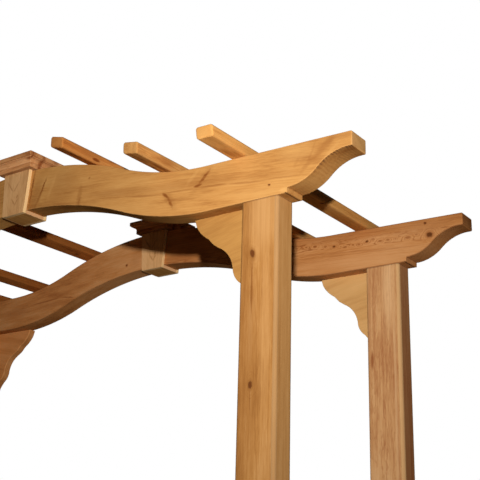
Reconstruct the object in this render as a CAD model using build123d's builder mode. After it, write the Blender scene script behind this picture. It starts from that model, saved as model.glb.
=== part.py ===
from build123d import *
from math import acos, asin, atan, cos, degrees, radians, sin, sqrt
import os

# Garden arbor in planed cedar: two arched frames side by side, joined by six purlins.
# X runs along the arches, Y from the front frame to the rear one, Z up from the ground.

# Posts
post_height = 2134
post_width = 140
post_depth = 89
post_corner_radius = 6
opening_width = 2166
frame_depth = 910

# Arched beams, sawn as two halves that meet under the keystone
beam_thickness = 89
beam_height = 163
arch_rise = 181
crest_radius = 1520
hollow_radius = 1090
tail_overhang = 262
tail_top_fall = 11

# Scrolled tail of a beam
tooth_from_post = 33
tooth_step = 17
scroll_rise = 87
scroll_run = 214

# Scrolled brackets in the corners between post and beam
bracket_thickness = 35
bracket_reach = 230
bracket_drop = 305

# Keystone plates and sole over the joint of the beam halves
keystone_thickness = 16
keystone_top_width = 144
keystone_foot_width = 120
sole_thickness = 15

# Square cap on top of each keystone
cap_board_thickness = 18
cap_base_length = 184
cap_base_depth = 155
cap_top_length = 230
cap_top_depth = 201
cove_height = 18
cove_reach = 18
cove_lip = 3
cove_radius = 20

# Purlins laid flat across both frames
purlin_width = 66
purlin_thickness = 38
purlin_overhang = 190
purlin_end_rake = 10
inner_purlin_x = 404
middle_purlin_x = 763
outer_purlin_x = 1075
purlin_shift_left = 8

# Levels and distances that follow from the sizes above
post_outer_x = opening_width / 2 + post_width
post_centre_x = opening_width / 2 + post_width / 2
tail_tip_x = post_outer_x + tail_overhang
tooth_x = post_outer_x + tooth_from_post
frame_face_y = frame_depth / 2
shoulder_z = post_height + beam_height
crest_z = shoulder_z + arch_rise
arch_sweep = degrees(acos(1 - arch_rise / (crest_radius + hollow_radius)))
crest_end_x = crest_radius * sin(radians(arch_sweep))
arch_end_x = (crest_radius + hollow_radius) * sin(radians(arch_sweep))
scroll_sweep = 2 * degrees(atan(scroll_rise / scroll_run))
scroll_radius = scroll_rise / 2 / (1 - cos(radians(scroll_sweep)))
tail_fall_slope = tail_top_fall / (tail_tip_x - arch_end_x)
cap_centre_y = frame_face_y - beam_thickness / 2

os.makedirs("parts", exist_ok=True)

# Half outline of an arched beam, from the joint out to the tip of its tail
with BuildSketch(Plane.XZ) as half_beam_outline:
    with BuildLine():
        crest = JernArc((0, crest_z), (1, 0), crest_radius, -arch_sweep)
        hollow = JernArc(crest @ 1, crest % 1, hollow_radius, arch_sweep)
        tip_top = (tail_tip_x, shoulder_z - tail_top_fall)
        tip_foot = (tail_tip_x, post_height + tooth_step + scroll_rise)
        Polyline(hollow @ 1, tip_top, tip_foot)
        belly = JernArc((tooth_x, post_height + tooth_step), (1, 0), scroll_radius, scroll_sweep)
        cove_end = JernArc(belly @ 1, belly % 1, scroll_radius, -scroll_sweep)
        Line(cove_end @ 1, tip_foot)
        Line((tooth_x, post_height + tooth_step), (tooth_x, post_height))
        under_crest = JernArc((0, crest_z - beam_height), (1, 0), crest_radius, -arch_sweep)
        under_hollow = JernArc(under_crest @ 1, under_crest % 1, hollow_radius, arch_sweep)
        Line(under_hollow @ 1, (tooth_x, post_height))
        Line((0, crest_z), (0, crest_z - beam_height))
    make_face()

# Scrolled bracket outline, drawn for the right side of the opening
with BuildSketch(Plane.XZ) as bracket_outline:
    with BuildLine():
        corner = Vector(opening_width / 2, post_height)
        heel = corner - Vector(bracket_reach, 0)
        toe = corner - Vector(0, bracket_drop)
        nose = corner - Vector(0.965 * bracket_reach, 0.082 * bracket_drop)
        lobe_mid = corner - Vector(0.878 * bracket_reach, 0.170 * bracket_drop)
        lobe_end = corner - Vector(0.743 * bracket_reach, 0.249 * bracket_drop)
        dip_end = corner - Vector(0.648 * bracket_reach, 0.325 * bracket_drop)
        knee_mid = corner - Vector(0.583 * bracket_reach, 0.357 * bracket_drop)
        knee_end = corner - Vector(0.509 * bracket_reach, 0.390 * bracket_drop)
        bay_mid = corner - Vector(0.365 * bracket_reach, 0.492 * bracket_drop)
        bay_end = corner - Vector(0.291 * bracket_reach, 0.662 * bracket_drop)
        calf_mid = corner - Vector(0.248 * bracket_reach, 0.741 * bracket_drop)
        calf_end = corner - Vector(0.161 * bracket_reach, 0.807 * bracket_drop)
        ankle_mid = corner - Vector(0.083 * bracket_reach, 0.882 * bracket_drop)
        Polyline(toe, corner, heel, nose)
        ThreePointArc(nose, lobe_mid, lobe_end)
        Line(lobe_end, dip_end)
        ThreePointArc(dip_end, knee_mid, knee_end)
        ThreePointArc(knee_end, bay_mid, bay_end)
        ThreePointArc(bay_end, calf_mid, calf_end)
        ThreePointArc(calf_end, ankle_mid, toe)
    make_face()

# Keystone plate outline, wider at the top
with BuildSketch(Plane.XZ) as keystone_outline:
    with BuildLine():
        keystone_foot_z = crest_z - beam_height - sole_thickness
        foot_right = (keystone_foot_width / 2, keystone_foot_z)
        foot_left = (-keystone_foot_width / 2, keystone_foot_z)
        top_left = (-keystone_top_width / 2, crest_z)
        top_right = (keystone_top_width / 2, crest_z)
        Polyline(foot_right, foot_left, top_left, top_right, close=True)
    make_face()

# Side outline of a purlin, with both ends raked so that the top board edge stands out
with BuildSketch(Plane.YZ) as purlin_outline:
    with BuildLine():
        top_end_y = frame_face_y + purlin_overhang
        foot_end_y = top_end_y - purlin_end_rake
        purlin_foot = ((-foot_end_y, 0), (foot_end_y, 0))
        purlin_top = ((top_end_y, purlin_thickness), (-top_end_y, purlin_thickness))
        Polyline(*purlin_foot, *purlin_top, close=True)
    make_face()


def crest_height(x):
    """Height of the beam top on the crest arc, at a distance x from the joint."""
    return crest_z - crest_radius + sqrt(crest_radius**2 - x**2)


def hollow_height(x):
    """Height of the beam top on the hollow arc, at a distance x from the joint."""
    return shoulder_z + hollow_radius - sqrt(hollow_radius**2 - (arch_end_x - x) ** 2)


def shoulder_height(x):
    """Height of the beam top on the straight shoulder over the post."""
    return shoulder_z - tail_fall_slope * (x - arch_end_x)


def crest_tip(x):
    """How far a purlin on the crest tips down outwards, at a distance x from the joint."""
    return degrees(asin(x / crest_radius))


def hollow_seat(x):
    """Seat of a purlin that rests on its two edges in the hollow: height and tip."""
    near = hollow_height(x - purlin_width / 2)
    far = hollow_height(x + purlin_width / 2)
    return (near + far) / 2, degrees(atan((near - far) / purlin_width))


# Distances of the purlins from the joint, with the whole set shifted to the left
inner_right_x = inner_purlin_x - purlin_shift_left
inner_left_x = inner_purlin_x + purlin_shift_left
middle_right_x = middle_purlin_x - purlin_shift_left
middle_left_x = middle_purlin_x + purlin_shift_left
outer_right_x = outer_purlin_x - purlin_shift_left
outer_left_x = outer_purlin_x + purlin_shift_left

# Heights of the middle of their undersides, and how far they tip
inner_right_z = crest_height(inner_right_x)
inner_left_z = crest_height(inner_left_x)
inner_right_tip = crest_tip(inner_right_x)
inner_left_tip = crest_tip(inner_left_x)
middle_right_z, middle_right_tip = hollow_seat(middle_right_x)
middle_left_z, middle_left_tip = hollow_seat(middle_left_x)
outer_right_z = shoulder_height(outer_right_x)
outer_left_z = shoulder_height(outer_left_x)
outer_tip = degrees(atan(tail_fall_slope))

# Posts, one at each corner, standing on the ground
post_row_y = frame_face_y - post_depth / 2

with BuildPart() as post_front_right:
    with BuildSketch(Plane.XY):
        with Locations((post_centre_x, -post_row_y)):
            RectangleRounded(post_width, post_depth, post_corner_radius)
    extrude(amount=post_height)

with BuildPart() as post_front_left:
    with BuildSketch(Plane.XY):
        with Locations((-post_centre_x, -post_row_y)):
            RectangleRounded(post_width, post_depth, post_corner_radius)
    extrude(amount=post_height)

with BuildPart() as post_rear_right:
    with BuildSketch(Plane.XY):
        with Locations((post_centre_x, post_row_y)):
            RectangleRounded(post_width, post_depth, post_corner_radius)
    extrude(amount=post_height)

with BuildPart() as post_rear_left:
    with BuildSketch(Plane.XY):
        with Locations((-post_centre_x, post_row_y)):
            RectangleRounded(post_width, post_depth, post_corner_radius)
    extrude(amount=post_height)

# Beam halves: the front pair starts at the front face, the rear pair at its own front face
front_beam_y = -frame_face_y
rear_beam_y = frame_face_y - beam_thickness

with BuildPart() as beam_front_right:
    with BuildSketch(Plane.XZ.offset(-front_beam_y)):
        add(half_beam_outline.sketch_local)
    extrude(amount=-beam_thickness)

with BuildPart() as beam_front_left:
    with BuildSketch(Plane.XZ.offset(-front_beam_y)):
        add(mirror(half_beam_outline.sketch_local, about=Plane.YZ))
    extrude(amount=-beam_thickness)

with BuildPart() as beam_rear_right:
    with BuildSketch(Plane.XZ.offset(-rear_beam_y)):
        add(half_beam_outline.sketch_local)
    extrude(amount=-beam_thickness)

with BuildPart() as beam_rear_left:
    with BuildSketch(Plane.XZ.offset(-rear_beam_y)):
        add(mirror(half_beam_outline.sketch_local, about=Plane.YZ))
    extrude(amount=-beam_thickness)

# Brackets, flush with the rear face of the posts of their own frame
front_bracket_y = front_beam_y + post_depth - bracket_thickness
rear_bracket_y = frame_face_y - bracket_thickness

with BuildPart() as bracket_front_right:
    with BuildSketch(Plane.XZ.offset(-front_bracket_y)):
        add(bracket_outline.sketch_local)
    extrude(amount=-bracket_thickness)

with BuildPart() as bracket_front_left:
    with BuildSketch(Plane.XZ.offset(-front_bracket_y)):
        add(mirror(bracket_outline.sketch_local, about=Plane.YZ))
    extrude(amount=-bracket_thickness)

with BuildPart() as bracket_rear_right:
    with BuildSketch(Plane.XZ.offset(-rear_bracket_y)):
        add(bracket_outline.sketch_local)
    extrude(amount=-bracket_thickness)

with BuildPart() as bracket_rear_left:
    with BuildSketch(Plane.XZ.offset(-rear_bracket_y)):
        add(mirror(bracket_outline.sketch_local, about=Plane.YZ))
    extrude(amount=-bracket_thickness)

# Keystone plates: one on each face of each beam
with BuildPart() as keystone_front_outer:
    with BuildSketch(Plane.XZ.offset(-front_beam_y)):
        add(keystone_outline.sketch_local)
    extrude(amount=keystone_thickness)

with BuildPart() as keystone_front_inner:
    with BuildSketch(Plane.XZ.offset(-front_beam_y - beam_thickness)):
        add(keystone_outline.sketch_local)
    extrude(amount=-keystone_thickness)

with BuildPart() as keystone_rear_inner:
    with BuildSketch(Plane.XZ.offset(-rear_beam_y)):
        add(keystone_outline.sketch_local)
    extrude(amount=keystone_thickness)

with BuildPart() as keystone_rear_outer:
    with BuildSketch(Plane.XZ.offset(-rear_beam_y - beam_thickness)):
        add(keystone_outline.sketch_local)
    extrude(amount=-keystone_thickness)

# Sole boards close the keystones from below, curved on top to fit the arch
with BuildPart() as sole_front:
    with BuildSketch(Plane.XZ.offset(-front_beam_y)) as sole_outline:
        with BuildLine():
            sole_half = keystone_foot_width / 2
            sole_edge_z = crest_z - beam_height - crest_radius + sqrt(crest_radius**2 - sole_half**2)
            Line((-sole_half, sole_edge_z), (-sole_half, keystone_foot_z))
            Line((-sole_half, keystone_foot_z), (sole_half, keystone_foot_z))
            Line((sole_half, keystone_foot_z), (sole_half, sole_edge_z))
            arch_point = (0, crest_z - beam_height)
            ThreePointArc((sole_half, sole_edge_z), arch_point, (-sole_half, sole_edge_z))
        make_face()
    extrude(amount=-beam_thickness)

with BuildPart() as sole_rear:
    with BuildSketch(Plane.XZ.offset(-rear_beam_y)):
        add(sole_outline.sketch_local)
    extrude(amount=-beam_thickness)

# Caps: a base board, a cove moulding run around it and a wider board on top
cove_foot_z = crest_z + cap_board_thickness
cap_board_z = cove_foot_z + cove_height

with BuildPart() as cap_base_front:
    with BuildSketch(Plane.XY.offset(crest_z)):
        with Locations((0, -cap_centre_y)):
            Rectangle(cap_base_length, cap_base_depth)
    extrude(amount=cap_board_thickness)

with BuildPart() as cap_base_rear:
    with BuildSketch(Plane.XY.offset(crest_z)):
        with Locations((0, cap_centre_y)):
            Rectangle(cap_base_length, cap_base_depth)
    extrude(amount=cap_board_thickness)

# The moulding is the common part of two runs of its profile, one along X and one along Y
with BuildPart() as cap_cove_front:
    with BuildSketch(Plane.XZ.offset(cap_centre_y)):
        with BuildLine():
            base_half = cap_base_length / 2
            lip_half = base_half + cove_reach
            lip_foot_z = cap_board_z - cove_lip
            Line((-base_half, cove_foot_z), (base_half, cove_foot_z))
            RadiusArc((base_half, cove_foot_z), (lip_half, lip_foot_z), cove_radius)
            Polyline((lip_half, lip_foot_z), (lip_half, cap_board_z), (-lip_half, cap_board_z))
            Line((-lip_half, cap_board_z), (-lip_half, lip_foot_z))
            RadiusArc((-lip_half, lip_foot_z), (-base_half, cove_foot_z), cove_radius)
        make_face()
    extrude(amount=cap_top_depth / 2, both=True)
    with BuildSketch(Plane.YZ):
        with BuildLine():
            base_front = -cap_centre_y - cap_base_depth / 2
            base_back = -cap_centre_y + cap_base_depth / 2
            lip_front = base_front - cove_reach
            lip_back = base_back + cove_reach
            Line((base_front, cove_foot_z), (base_back, cove_foot_z))
            RadiusArc((base_back, cove_foot_z), (lip_back, lip_foot_z), cove_radius)
            Polyline((lip_back, lip_foot_z), (lip_back, cap_board_z), (lip_front, cap_board_z))
            Line((lip_front, cap_board_z), (lip_front, lip_foot_z))
            RadiusArc((lip_front, lip_foot_z), (base_front, cove_foot_z), cove_radius)
        make_face()
    extrude(amount=cap_top_length / 2, both=True, mode=Mode.INTERSECT)

with BuildPart() as cap_cove_rear:
    add(cap_cove_front.part.moved(Location((0, 2 * cap_centre_y, 0))))

with BuildPart() as cap_board_front:
    with BuildSketch(Plane.XY.offset(cap_board_z)):
        with Locations((0, -cap_centre_y)):
            Rectangle(cap_top_length, cap_top_depth)
    extrude(amount=cap_board_thickness)

with BuildPart() as cap_board_rear:
    with BuildSketch(Plane.XY.offset(cap_board_z)):
        with Locations((0, cap_centre_y)):
            Rectangle(cap_top_length, cap_top_depth)
    extrude(amount=cap_board_thickness)

# Purlins: each is built flat at the origin, tipped to the slope of the beam and set on it
with BuildPart() as purlin_blank:
    with BuildSketch(Plane.YZ):
        add(purlin_outline.sketch_local)
    extrude(amount=purlin_width / 2, both=True)

with BuildPart() as purlin_inner_right:
    add(purlin_blank.part.moved(Location((inner_right_x, 0, inner_right_z), (0, inner_right_tip, 0))))

with BuildPart() as purlin_middle_right:
    add(purlin_blank.part.moved(Location((middle_right_x, 0, middle_right_z), (0, middle_right_tip, 0))))

with BuildPart() as purlin_outer_right:
    add(purlin_blank.part.moved(Location((outer_right_x, 0, outer_right_z), (0, outer_tip, 0))))

with BuildPart() as purlin_inner_left:
    add(purlin_blank.part.moved(Location((-inner_left_x, 0, inner_left_z), (0, -inner_left_tip, 0))))

with BuildPart() as purlin_middle_left:
    add(purlin_blank.part.moved(Location((-middle_left_x, 0, middle_left_z), (0, -middle_left_tip, 0))))

with BuildPart() as purlin_outer_left:
    add(purlin_blank.part.moved(Location((-outer_left_x, 0, outer_left_z), (0, -outer_tip, 0))))

# Names and files
post_front_right.part.label = "post_front_right"
export_step(post_front_right.part, "parts/post_front_right.step")
post_front_left.part.label = "post_front_left"
export_step(post_front_left.part, "parts/post_front_left.step")
post_rear_right.part.label = "post_rear_right"
export_step(post_rear_right.part, "parts/post_rear_right.step")
post_rear_left.part.label = "post_rear_left"
export_step(post_rear_left.part, "parts/post_rear_left.step")

beam_front_right.part.label = "beam_front_right"
export_step(beam_front_right.part, "parts/beam_front_right.step")
beam_front_left.part.label = "beam_front_left"
export_step(beam_front_left.part, "parts/beam_front_left.step")
beam_rear_right.part.label = "beam_rear_right"
export_step(beam_rear_right.part, "parts/beam_rear_right.step")
beam_rear_left.part.label = "beam_rear_left"
export_step(beam_rear_left.part, "parts/beam_rear_left.step")

bracket_front_right.part.label = "bracket_front_right"
export_step(bracket_front_right.part, "parts/bracket_front_right.step")
bracket_front_left.part.label = "bracket_front_left"
export_step(bracket_front_left.part, "parts/bracket_front_left.step")
bracket_rear_right.part.label = "bracket_rear_right"
export_step(bracket_rear_right.part, "parts/bracket_rear_right.step")
bracket_rear_left.part.label = "bracket_rear_left"
export_step(bracket_rear_left.part, "parts/bracket_rear_left.step")

keystone_front_outer.part.label = "keystone_front_outer"
export_step(keystone_front_outer.part, "parts/keystone_front_outer.step")
keystone_front_inner.part.label = "keystone_front_inner"
export_step(keystone_front_inner.part, "parts/keystone_front_inner.step")
keystone_rear_inner.part.label = "keystone_rear_inner"
export_step(keystone_rear_inner.part, "parts/keystone_rear_inner.step")
keystone_rear_outer.part.label = "keystone_rear_outer"
export_step(keystone_rear_outer.part, "parts/keystone_rear_outer.step")
sole_front.part.label = "sole_front"
export_step(sole_front.part, "parts/sole_front.step")
sole_rear.part.label = "sole_rear"
export_step(sole_rear.part, "parts/sole_rear.step")

cap_base_front.part.label = "cap_base_front"
export_step(cap_base_front.part, "parts/cap_base_front.step")
cap_base_rear.part.label = "cap_base_rear"
export_step(cap_base_rear.part, "parts/cap_base_rear.step")
cap_cove_front.part.label = "cap_cove_front"
export_step(cap_cove_front.part, "parts/cap_cove_front.step")
cap_cove_rear.part.label = "cap_cove_rear"
export_step(cap_cove_rear.part, "parts/cap_cove_rear.step")
cap_board_front.part.label = "cap_board_front"
export_step(cap_board_front.part, "parts/cap_board_front.step")
cap_board_rear.part.label = "cap_board_rear"
export_step(cap_board_rear.part, "parts/cap_board_rear.step")

purlin_inner_right.part.label = "purlin_inner_right"
export_step(purlin_inner_right.part, "parts/purlin_inner_right.step")
purlin_middle_right.part.label = "purlin_middle_right"
export_step(purlin_middle_right.part, "parts/purlin_middle_right.step")
purlin_outer_right.part.label = "purlin_outer_right"
export_step(purlin_outer_right.part, "parts/purlin_outer_right.step")
purlin_inner_left.part.label = "purlin_inner_left"
export_step(purlin_inner_left.part, "parts/purlin_inner_left.step")
purlin_middle_left.part.label = "purlin_middle_left"
export_step(purlin_middle_left.part, "parts/purlin_middle_left.step")
purlin_outer_left.part.label = "purlin_outer_left"
export_step(purlin_outer_left.part, "parts/purlin_outer_left.step")
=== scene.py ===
# %% [markdown]
# # A garden arbor in planed cedar
#
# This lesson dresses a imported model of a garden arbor. The model gives the true sizes and places.
# Each timber is built again here as a mesh with eased edges, cut ends and the coordinates of the
# tree it was sawn from, and then gets a cedar material that follows those coordinates.

from math import acos, atan, atan2, cos, radians, sin

import bpy
import numpy as np
from mathutils import Matrix, Vector


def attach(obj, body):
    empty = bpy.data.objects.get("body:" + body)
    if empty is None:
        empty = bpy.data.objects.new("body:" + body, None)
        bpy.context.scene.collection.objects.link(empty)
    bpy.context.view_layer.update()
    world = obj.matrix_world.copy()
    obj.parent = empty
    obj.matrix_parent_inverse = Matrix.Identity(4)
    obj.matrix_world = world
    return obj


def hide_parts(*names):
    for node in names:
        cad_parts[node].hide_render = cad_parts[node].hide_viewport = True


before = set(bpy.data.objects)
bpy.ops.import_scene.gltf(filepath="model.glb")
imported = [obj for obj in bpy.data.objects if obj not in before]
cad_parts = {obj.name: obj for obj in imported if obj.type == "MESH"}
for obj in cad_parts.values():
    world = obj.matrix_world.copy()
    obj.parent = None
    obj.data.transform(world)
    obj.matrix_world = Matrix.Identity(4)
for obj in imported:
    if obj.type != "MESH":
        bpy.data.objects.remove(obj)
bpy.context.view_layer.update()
print("packed nodes:", len(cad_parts))

# %% [markdown]
# The sizes of the real object come first, in metres. The posts are 4 x 6 timber, the beams 4 inches
# thick, the purlins 2 x 3 laid flat. The arch is two arcs on each side of the middle: a crest arc
# and a hollow arc that turn by the same angle, so that the shoulder over the post is level again.

# %% Sizes of the timbers
POST_HEIGHT = 2.134
POST_WIDTH, POST_DEPTH = 0.140, 0.089
OPENING = 2.166
FRAME_DEPTH = 0.910
BEAM_THICKNESS, BEAM_HEIGHT = 0.089, 0.163
ARCH_RISE = 0.181
CREST_RADIUS, HOLLOW_RADIUS = 1.520, 1.090
TAIL_TIP = OPENING / 2 + POST_WIDTH + 0.262
TOOTH = OPENING / 2 + POST_WIDTH + 0.033
TOOTH_STEP = 0.017
SCROLL_RISE, SCROLL_RUN = 0.087, 0.214
TAIL_FALL = 0.011
SHOULDER = POST_HEIGHT + BEAM_HEIGHT
CREST = SHOULDER + ARCH_RISE
ARCH_SWEEP = acos(1 - ARCH_RISE / (CREST_RADIUS + HOLLOW_RADIUS))
CREST_END = CREST_RADIUS * sin(ARCH_SWEEP)
ARCH_END = (CREST_RADIUS + HOLLOW_RADIUS) * sin(ARCH_SWEEP)
FACE = FRAME_DEPTH / 2
print("crest of the arch at", round(CREST, 3), "m, level again at x =", round(ARCH_END, 3), "m")

# %% [markdown]
# Every timber here is the same idea: a rectangle with eased corners, carried along a path, with
# both ends closed. Box modelling and a Bevel modifier would also do it, but the arch and the
# scroll change the height of the section all the way, so the rectangle is worked out for all
# stations at once in numpy. The corners get a short arc with a support point on each side of it,
# which keeps the flat faces flat when they are shaded smooth.

# %% A rectangle with eased corners, at every station
ARC_STEPS = 5
SUPPORT = 0.0015


def eased_rectangle(low_u, high_u, low_v, high_v, ease):
    """Corner centres lie one easing radius inside the rectangle; each corner is a quarter circle.

    Arguments are arrays over the stations, or numbers that hold for all of them. Returns an array
    (stations, points, 2) and, for each point, 1 on a corner arc and 0 where it supports a flat face.
    """
    low_u, high_u, low_v, high_v, ease = np.broadcast_arrays(low_u, high_u, low_v, high_v, ease)
    ease = np.minimum(ease, 0.45 * np.minimum(high_u - low_u, high_v - low_v))
    support = np.minimum(SUPPORT, 0.04 * np.minimum(high_u - low_u, high_v - low_v))
    points, on_edge = [], []
    for quarter, (side_u, side_v) in enumerate(((1, 1), (-1, 1), (-1, -1), (1, -1))):
        centre_u = high_u - ease if side_u > 0 else low_u + ease
        centre_v = high_v - ease if side_v > 0 else low_v + ease
        angle = np.radians(90 * quarter) + np.linspace(0, np.pi / 2, ARC_STEPS + 1)
        arc_u = centre_u[:, None] + ease[:, None] * np.cos(angle)
        arc_v = centre_v[:, None] + ease[:, None] * np.sin(angle)
        before = np.array([np.sin(angle[0]), -np.cos(angle[0])])
        after = np.array([-np.sin(angle[-1]), np.cos(angle[-1])])
        first = np.stack([arc_u[:, 0] + before[0] * support, arc_v[:, 0] + before[1] * support], -1)
        last = np.stack([arc_u[:, -1] + after[0] * support, arc_v[:, -1] + after[1] * support], -1)
        points += [first[:, None], np.stack([arc_u, arc_v], -1), last[:, None]]
        on_edge += [0.0] + [1.0] * (ARC_STEPS + 1) + [0.0]
    return np.concatenate(points, 1), np.array(on_edge)


one_section, _ = eased_rectangle(np.array([0.0]), POST_WIDTH, 0.0, POST_DEPTH, 0.011)
print("points around one section:", one_section.shape[1])

# %% [markdown]
# The rings of points become a closed skin of quads, with one flat face over each end. The faces
# have to point outwards, and the volume that they enclose tells whether they do: it comes out
# negative when they point inwards. The two ends have to be counted with the sides. Without them
# the sum depends on where the piece stands, and thin plates can get the wrong sign.

# %% The volume inside a stack of rings
def volume_inside(rings):
    """A third of the sum, over all faces, of the dot product of area vector and middle point.

    A quad's area vector is half the cross product of its diagonals. An end's area vector is half
    the sum of the cross products of its neighbouring points, and the first end faces backwards.
    """
    a, d = rings[:-1], rings[1:]
    b, c = np.roll(a, -1, axis=1), np.roll(d, -1, axis=1)
    sides = (np.cross(c - a, d - b) * (a + b + c + d)).sum() / 8
    ends = rings[[0, -1]]
    areas = np.cross(ends, np.roll(ends, -1, axis=1)).sum(axis=1) / 2
    first, last = (areas * ends.mean(axis=1)).sum(axis=1)
    return (sides + last - first) / 3


metre_of_post = np.stack([np.insert(one_section[0], 2, height, axis=1) for height in (0.0, 1.0)])
print("a metre of post holds", round(volume_inside(metre_of_post) * 1000, 2), "litres of wood")

# %% [markdown]
# When the volume is negative, the order of the corners is turned round in every face. That also
# takes care of the mirrored timbers. The mesh keeps five things per vertex for the material: the
# place in the tree, and how much the spot is an eased edge, a cut end, a sawn curve or a joint,
# darkened by grime and by painted shade.

# %% Skin a stack of rings
NO_MARKS = dict.fromkeys(("eased_edge", "cut_end", "sawn_curve", "joint_dirt"), 0.0)


def skin(name, rings, tree_place, masks):
    """Quads join ring s to ring s + 1, point n to point n + 1; the first and last ring are faces."""
    stations, around = rings.shape[:2]
    here = np.arange(stations * around).reshape(stations, around)
    after = np.roll(here, -1, axis=1)
    quads = np.stack([here[:-1], after[:-1], after[1:], here[1:]], -1).reshape(-1, 4)
    points = rings.reshape(-1, 3)
    first, last = here[0][::-1], here[-1]
    if volume_inside(rings) < 0:
        quads, first, last = quads[:, ::-1], first[::-1], last[::-1]
    corners = np.concatenate([quads.ravel(), first, last]).astype(np.int32)
    starts = np.arange(len(quads), dtype=np.int32) * 4
    starts = np.append(starts, [len(quads) * 4, len(quads) * 4 + around]).astype(np.int32)
    mesh = bpy.data.meshes.new(name)
    mesh.vertices.add(len(points))
    mesh.vertices.foreach_set("co", points.astype(np.float32).ravel())
    mesh.loops.add(len(corners))
    mesh.loops.foreach_set("vertex_index", corners)
    mesh.polygons.add(len(starts))
    mesh.polygons.foreach_set("loop_start", starts)
    mesh.update(calc_edges=True)
    mesh.validate()
    mesh.polygons.foreach_set("use_smooth", np.ones(len(mesh.polygons), dtype=bool))
    mesh.set_sharp_from_angle(angle=radians(35))
    place = mesh.attributes.new("tree_place", "FLOAT_VECTOR", "POINT")
    place.data.foreach_set("vector", tree_place.reshape(-1, 3).astype(np.float32).ravel())
    for key, values in {**NO_MARKS, **masks}.items():
        values = np.broadcast_to(values, (stations, around)).astype(np.float32)
        mesh.attributes.new(key, "FLOAT", "POINT").data.foreach_set("value", values.ravel())
    piece = bpy.data.objects.new(name, mesh)
    bpy.context.scene.collection.objects.link(piece)
    return piece


print("kept for every vertex: tree_place,", ", ".join(NO_MARKS))

# %% [markdown]
# A timber's own coordinates run along its grain, across it and into its depth. A shift and a turn
# are all that is needed, because wood is solid: the same rings show on every face that the saw
# lays bare, as lines on the sides and as arcs on the ends.

# %% Coordinates of the tree
ALONG_X = ((1, 0, 0), (0, 0, 1), (0, 1, 0))
ALONG_Y = ((0, 1, 0), (1, 0, 0), (0, 0, 1))
ALONG_Z = ((0, 0, 1), (1, 0, 0), (0, 1, 0))


def tree_frame(origin, axes, slope=0.0):
    """Rows of the turn are the grain, across and depth directions; slope tips grain and across."""
    grain, across, depth = (np.array(row, float) for row in axes)
    tipped_grain = grain * cos(slope) + across * sin(slope)
    tipped_across = across * cos(slope) - grain * sin(slope)
    return np.array(origin, float), np.array([tipped_grain, tipped_across, depth])


def into_tree(points, tree):
    """Place in the tree = turn times (point - origin)."""
    origin, turn = tree
    return (np.asarray(points) - origin) @ turn.T


print("1 m up a post, in its tree:", into_tree((0.0, 0.0, 1.0), tree_frame((0, 0, 0), ALONG_Z)))

# %% [markdown]
# Rounded-over ends are made by adding a few stations close to the end, on a quarter circle: the
# section shrinks a little at each of them while the path runs its last millimetres.

# %% Ease the ends of a path
def eased_ends(length_stations, ease_start, ease_end, steps=4):
    """Stations move in by ease x (1 - cos), and the section shrinks by ease x (1 - sin)."""
    turn = np.linspace(0, np.pi / 2, steps + 1)
    low, high = length_stations[0], length_stations[-1]
    middle = length_stations[1:-1]
    keep = (middle > low + 1.5 * ease_start + SUPPORT) & (middle < high - 1.5 * ease_end - SUPPORT)
    head = [[low], [0.0]]
    if ease_start > 0:
        head = [
            np.append(low + ease_start * (1 - np.cos(turn)), low + ease_start + SUPPORT),
            np.append(ease_start * (1 - np.sin(turn)), 0.0),
        ]
    tail = [[high], [0.0]]
    if ease_end > 0:
        tail = [
            np.insert(high - ease_end * (1 - np.cos(turn[::-1])), 0, high - ease_end - SUPPORT),
            np.insert(ease_end * (1 - np.sin(turn[::-1])), 0, 0.0),
        ]
    stations = np.concatenate([head[0], middle[keep], tail[0]])
    shrink = np.concatenate([head[1], np.zeros(keep.sum()), tail[1]])
    return stations, shrink


print("stations of a 1 m run, ends eased:", len(eased_ends(np.linspace(0, 1, 11), 0.002, 0.004)[0]))

# %% [markdown]
# The cedar is a solid texture. Growth rings are cylinders around the heart of the tree, so the
# distance from the heart, divided by the ring width, counts rings; its fraction gives the pale
# early wood and the dark late wood of each. The heart is never quite parallel to the sawn face,
# and that taper is what draws the pointed arches on a flat-sawn board. Knots push the rings aside.
#
# The nodes are made by a few small helpers, so that each line below reads as one step.

# %% Helpers for building node trees
def node(tree, kind, label="", **settings):
    """A new shader node, with its settings."""
    made = tree.nodes.new("ShaderNode" + kind)
    made.label = label
    for key, value in settings.items():
        setattr(made, key, value)
    return made


def feed(tree, socket, value):
    """Link a socket to an output, or set its default."""
    if isinstance(value, bpy.types.NodeSocket):
        tree.links.new(value, socket)
    else:
        socket.default_value = value


def maths(tree, operation, *values, clamp=False):
    """One sum on numbers; each value is a number or another node's output."""
    made = node(tree, "Math", operation=operation, use_clamp=clamp)
    for socket, value in zip(made.inputs, values):
        feed(tree, socket, value)
    return made.outputs[0]


def vectors(tree, operation, *values):
    """One sum on vectors."""
    made = node(tree, "VectorMath", operation=operation)
    for socket, value in zip(made.inputs, values):
        feed(tree, socket, value)
    return made.outputs["Value" if operation in ("LENGTH", "DOT_PRODUCT") else "Vector"]


print("helpers for nodes:", ", ".join(helper.__name__ for helper in (node, feed, maths, vectors)))

# %% [markdown]
# The other helpers are what a wood finish is mixed from: soft steps, blends of two colours, noise,
# and the values that the mesh keeps at its vertices.

# %% Helpers for steps, blends and noise
def ramp(tree, value, low, high, to_low=0.0, to_high=1.0):
    """Smooth step of value from low..high to to_low..to_high."""
    made = node(tree, "MapRange", interpolation_type="SMOOTHSTEP")
    for socket, item in zip(made.inputs, (value, low, high, to_low, to_high)):
        feed(tree, socket, item)
    return made.outputs[0]


def blend(tree, amount, first, second, mode="MIX"):
    """first x (1 - amount) + second x amount, or another way of mixing two colours."""
    made = node(tree, "Mix", data_type="RGBA", blend_type=mode)
    feed(tree, made.inputs["Factor"], amount)
    feed(tree, made.inputs["A"], first)
    feed(tree, made.inputs["B"], second)
    return made.outputs["Result"]


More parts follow.
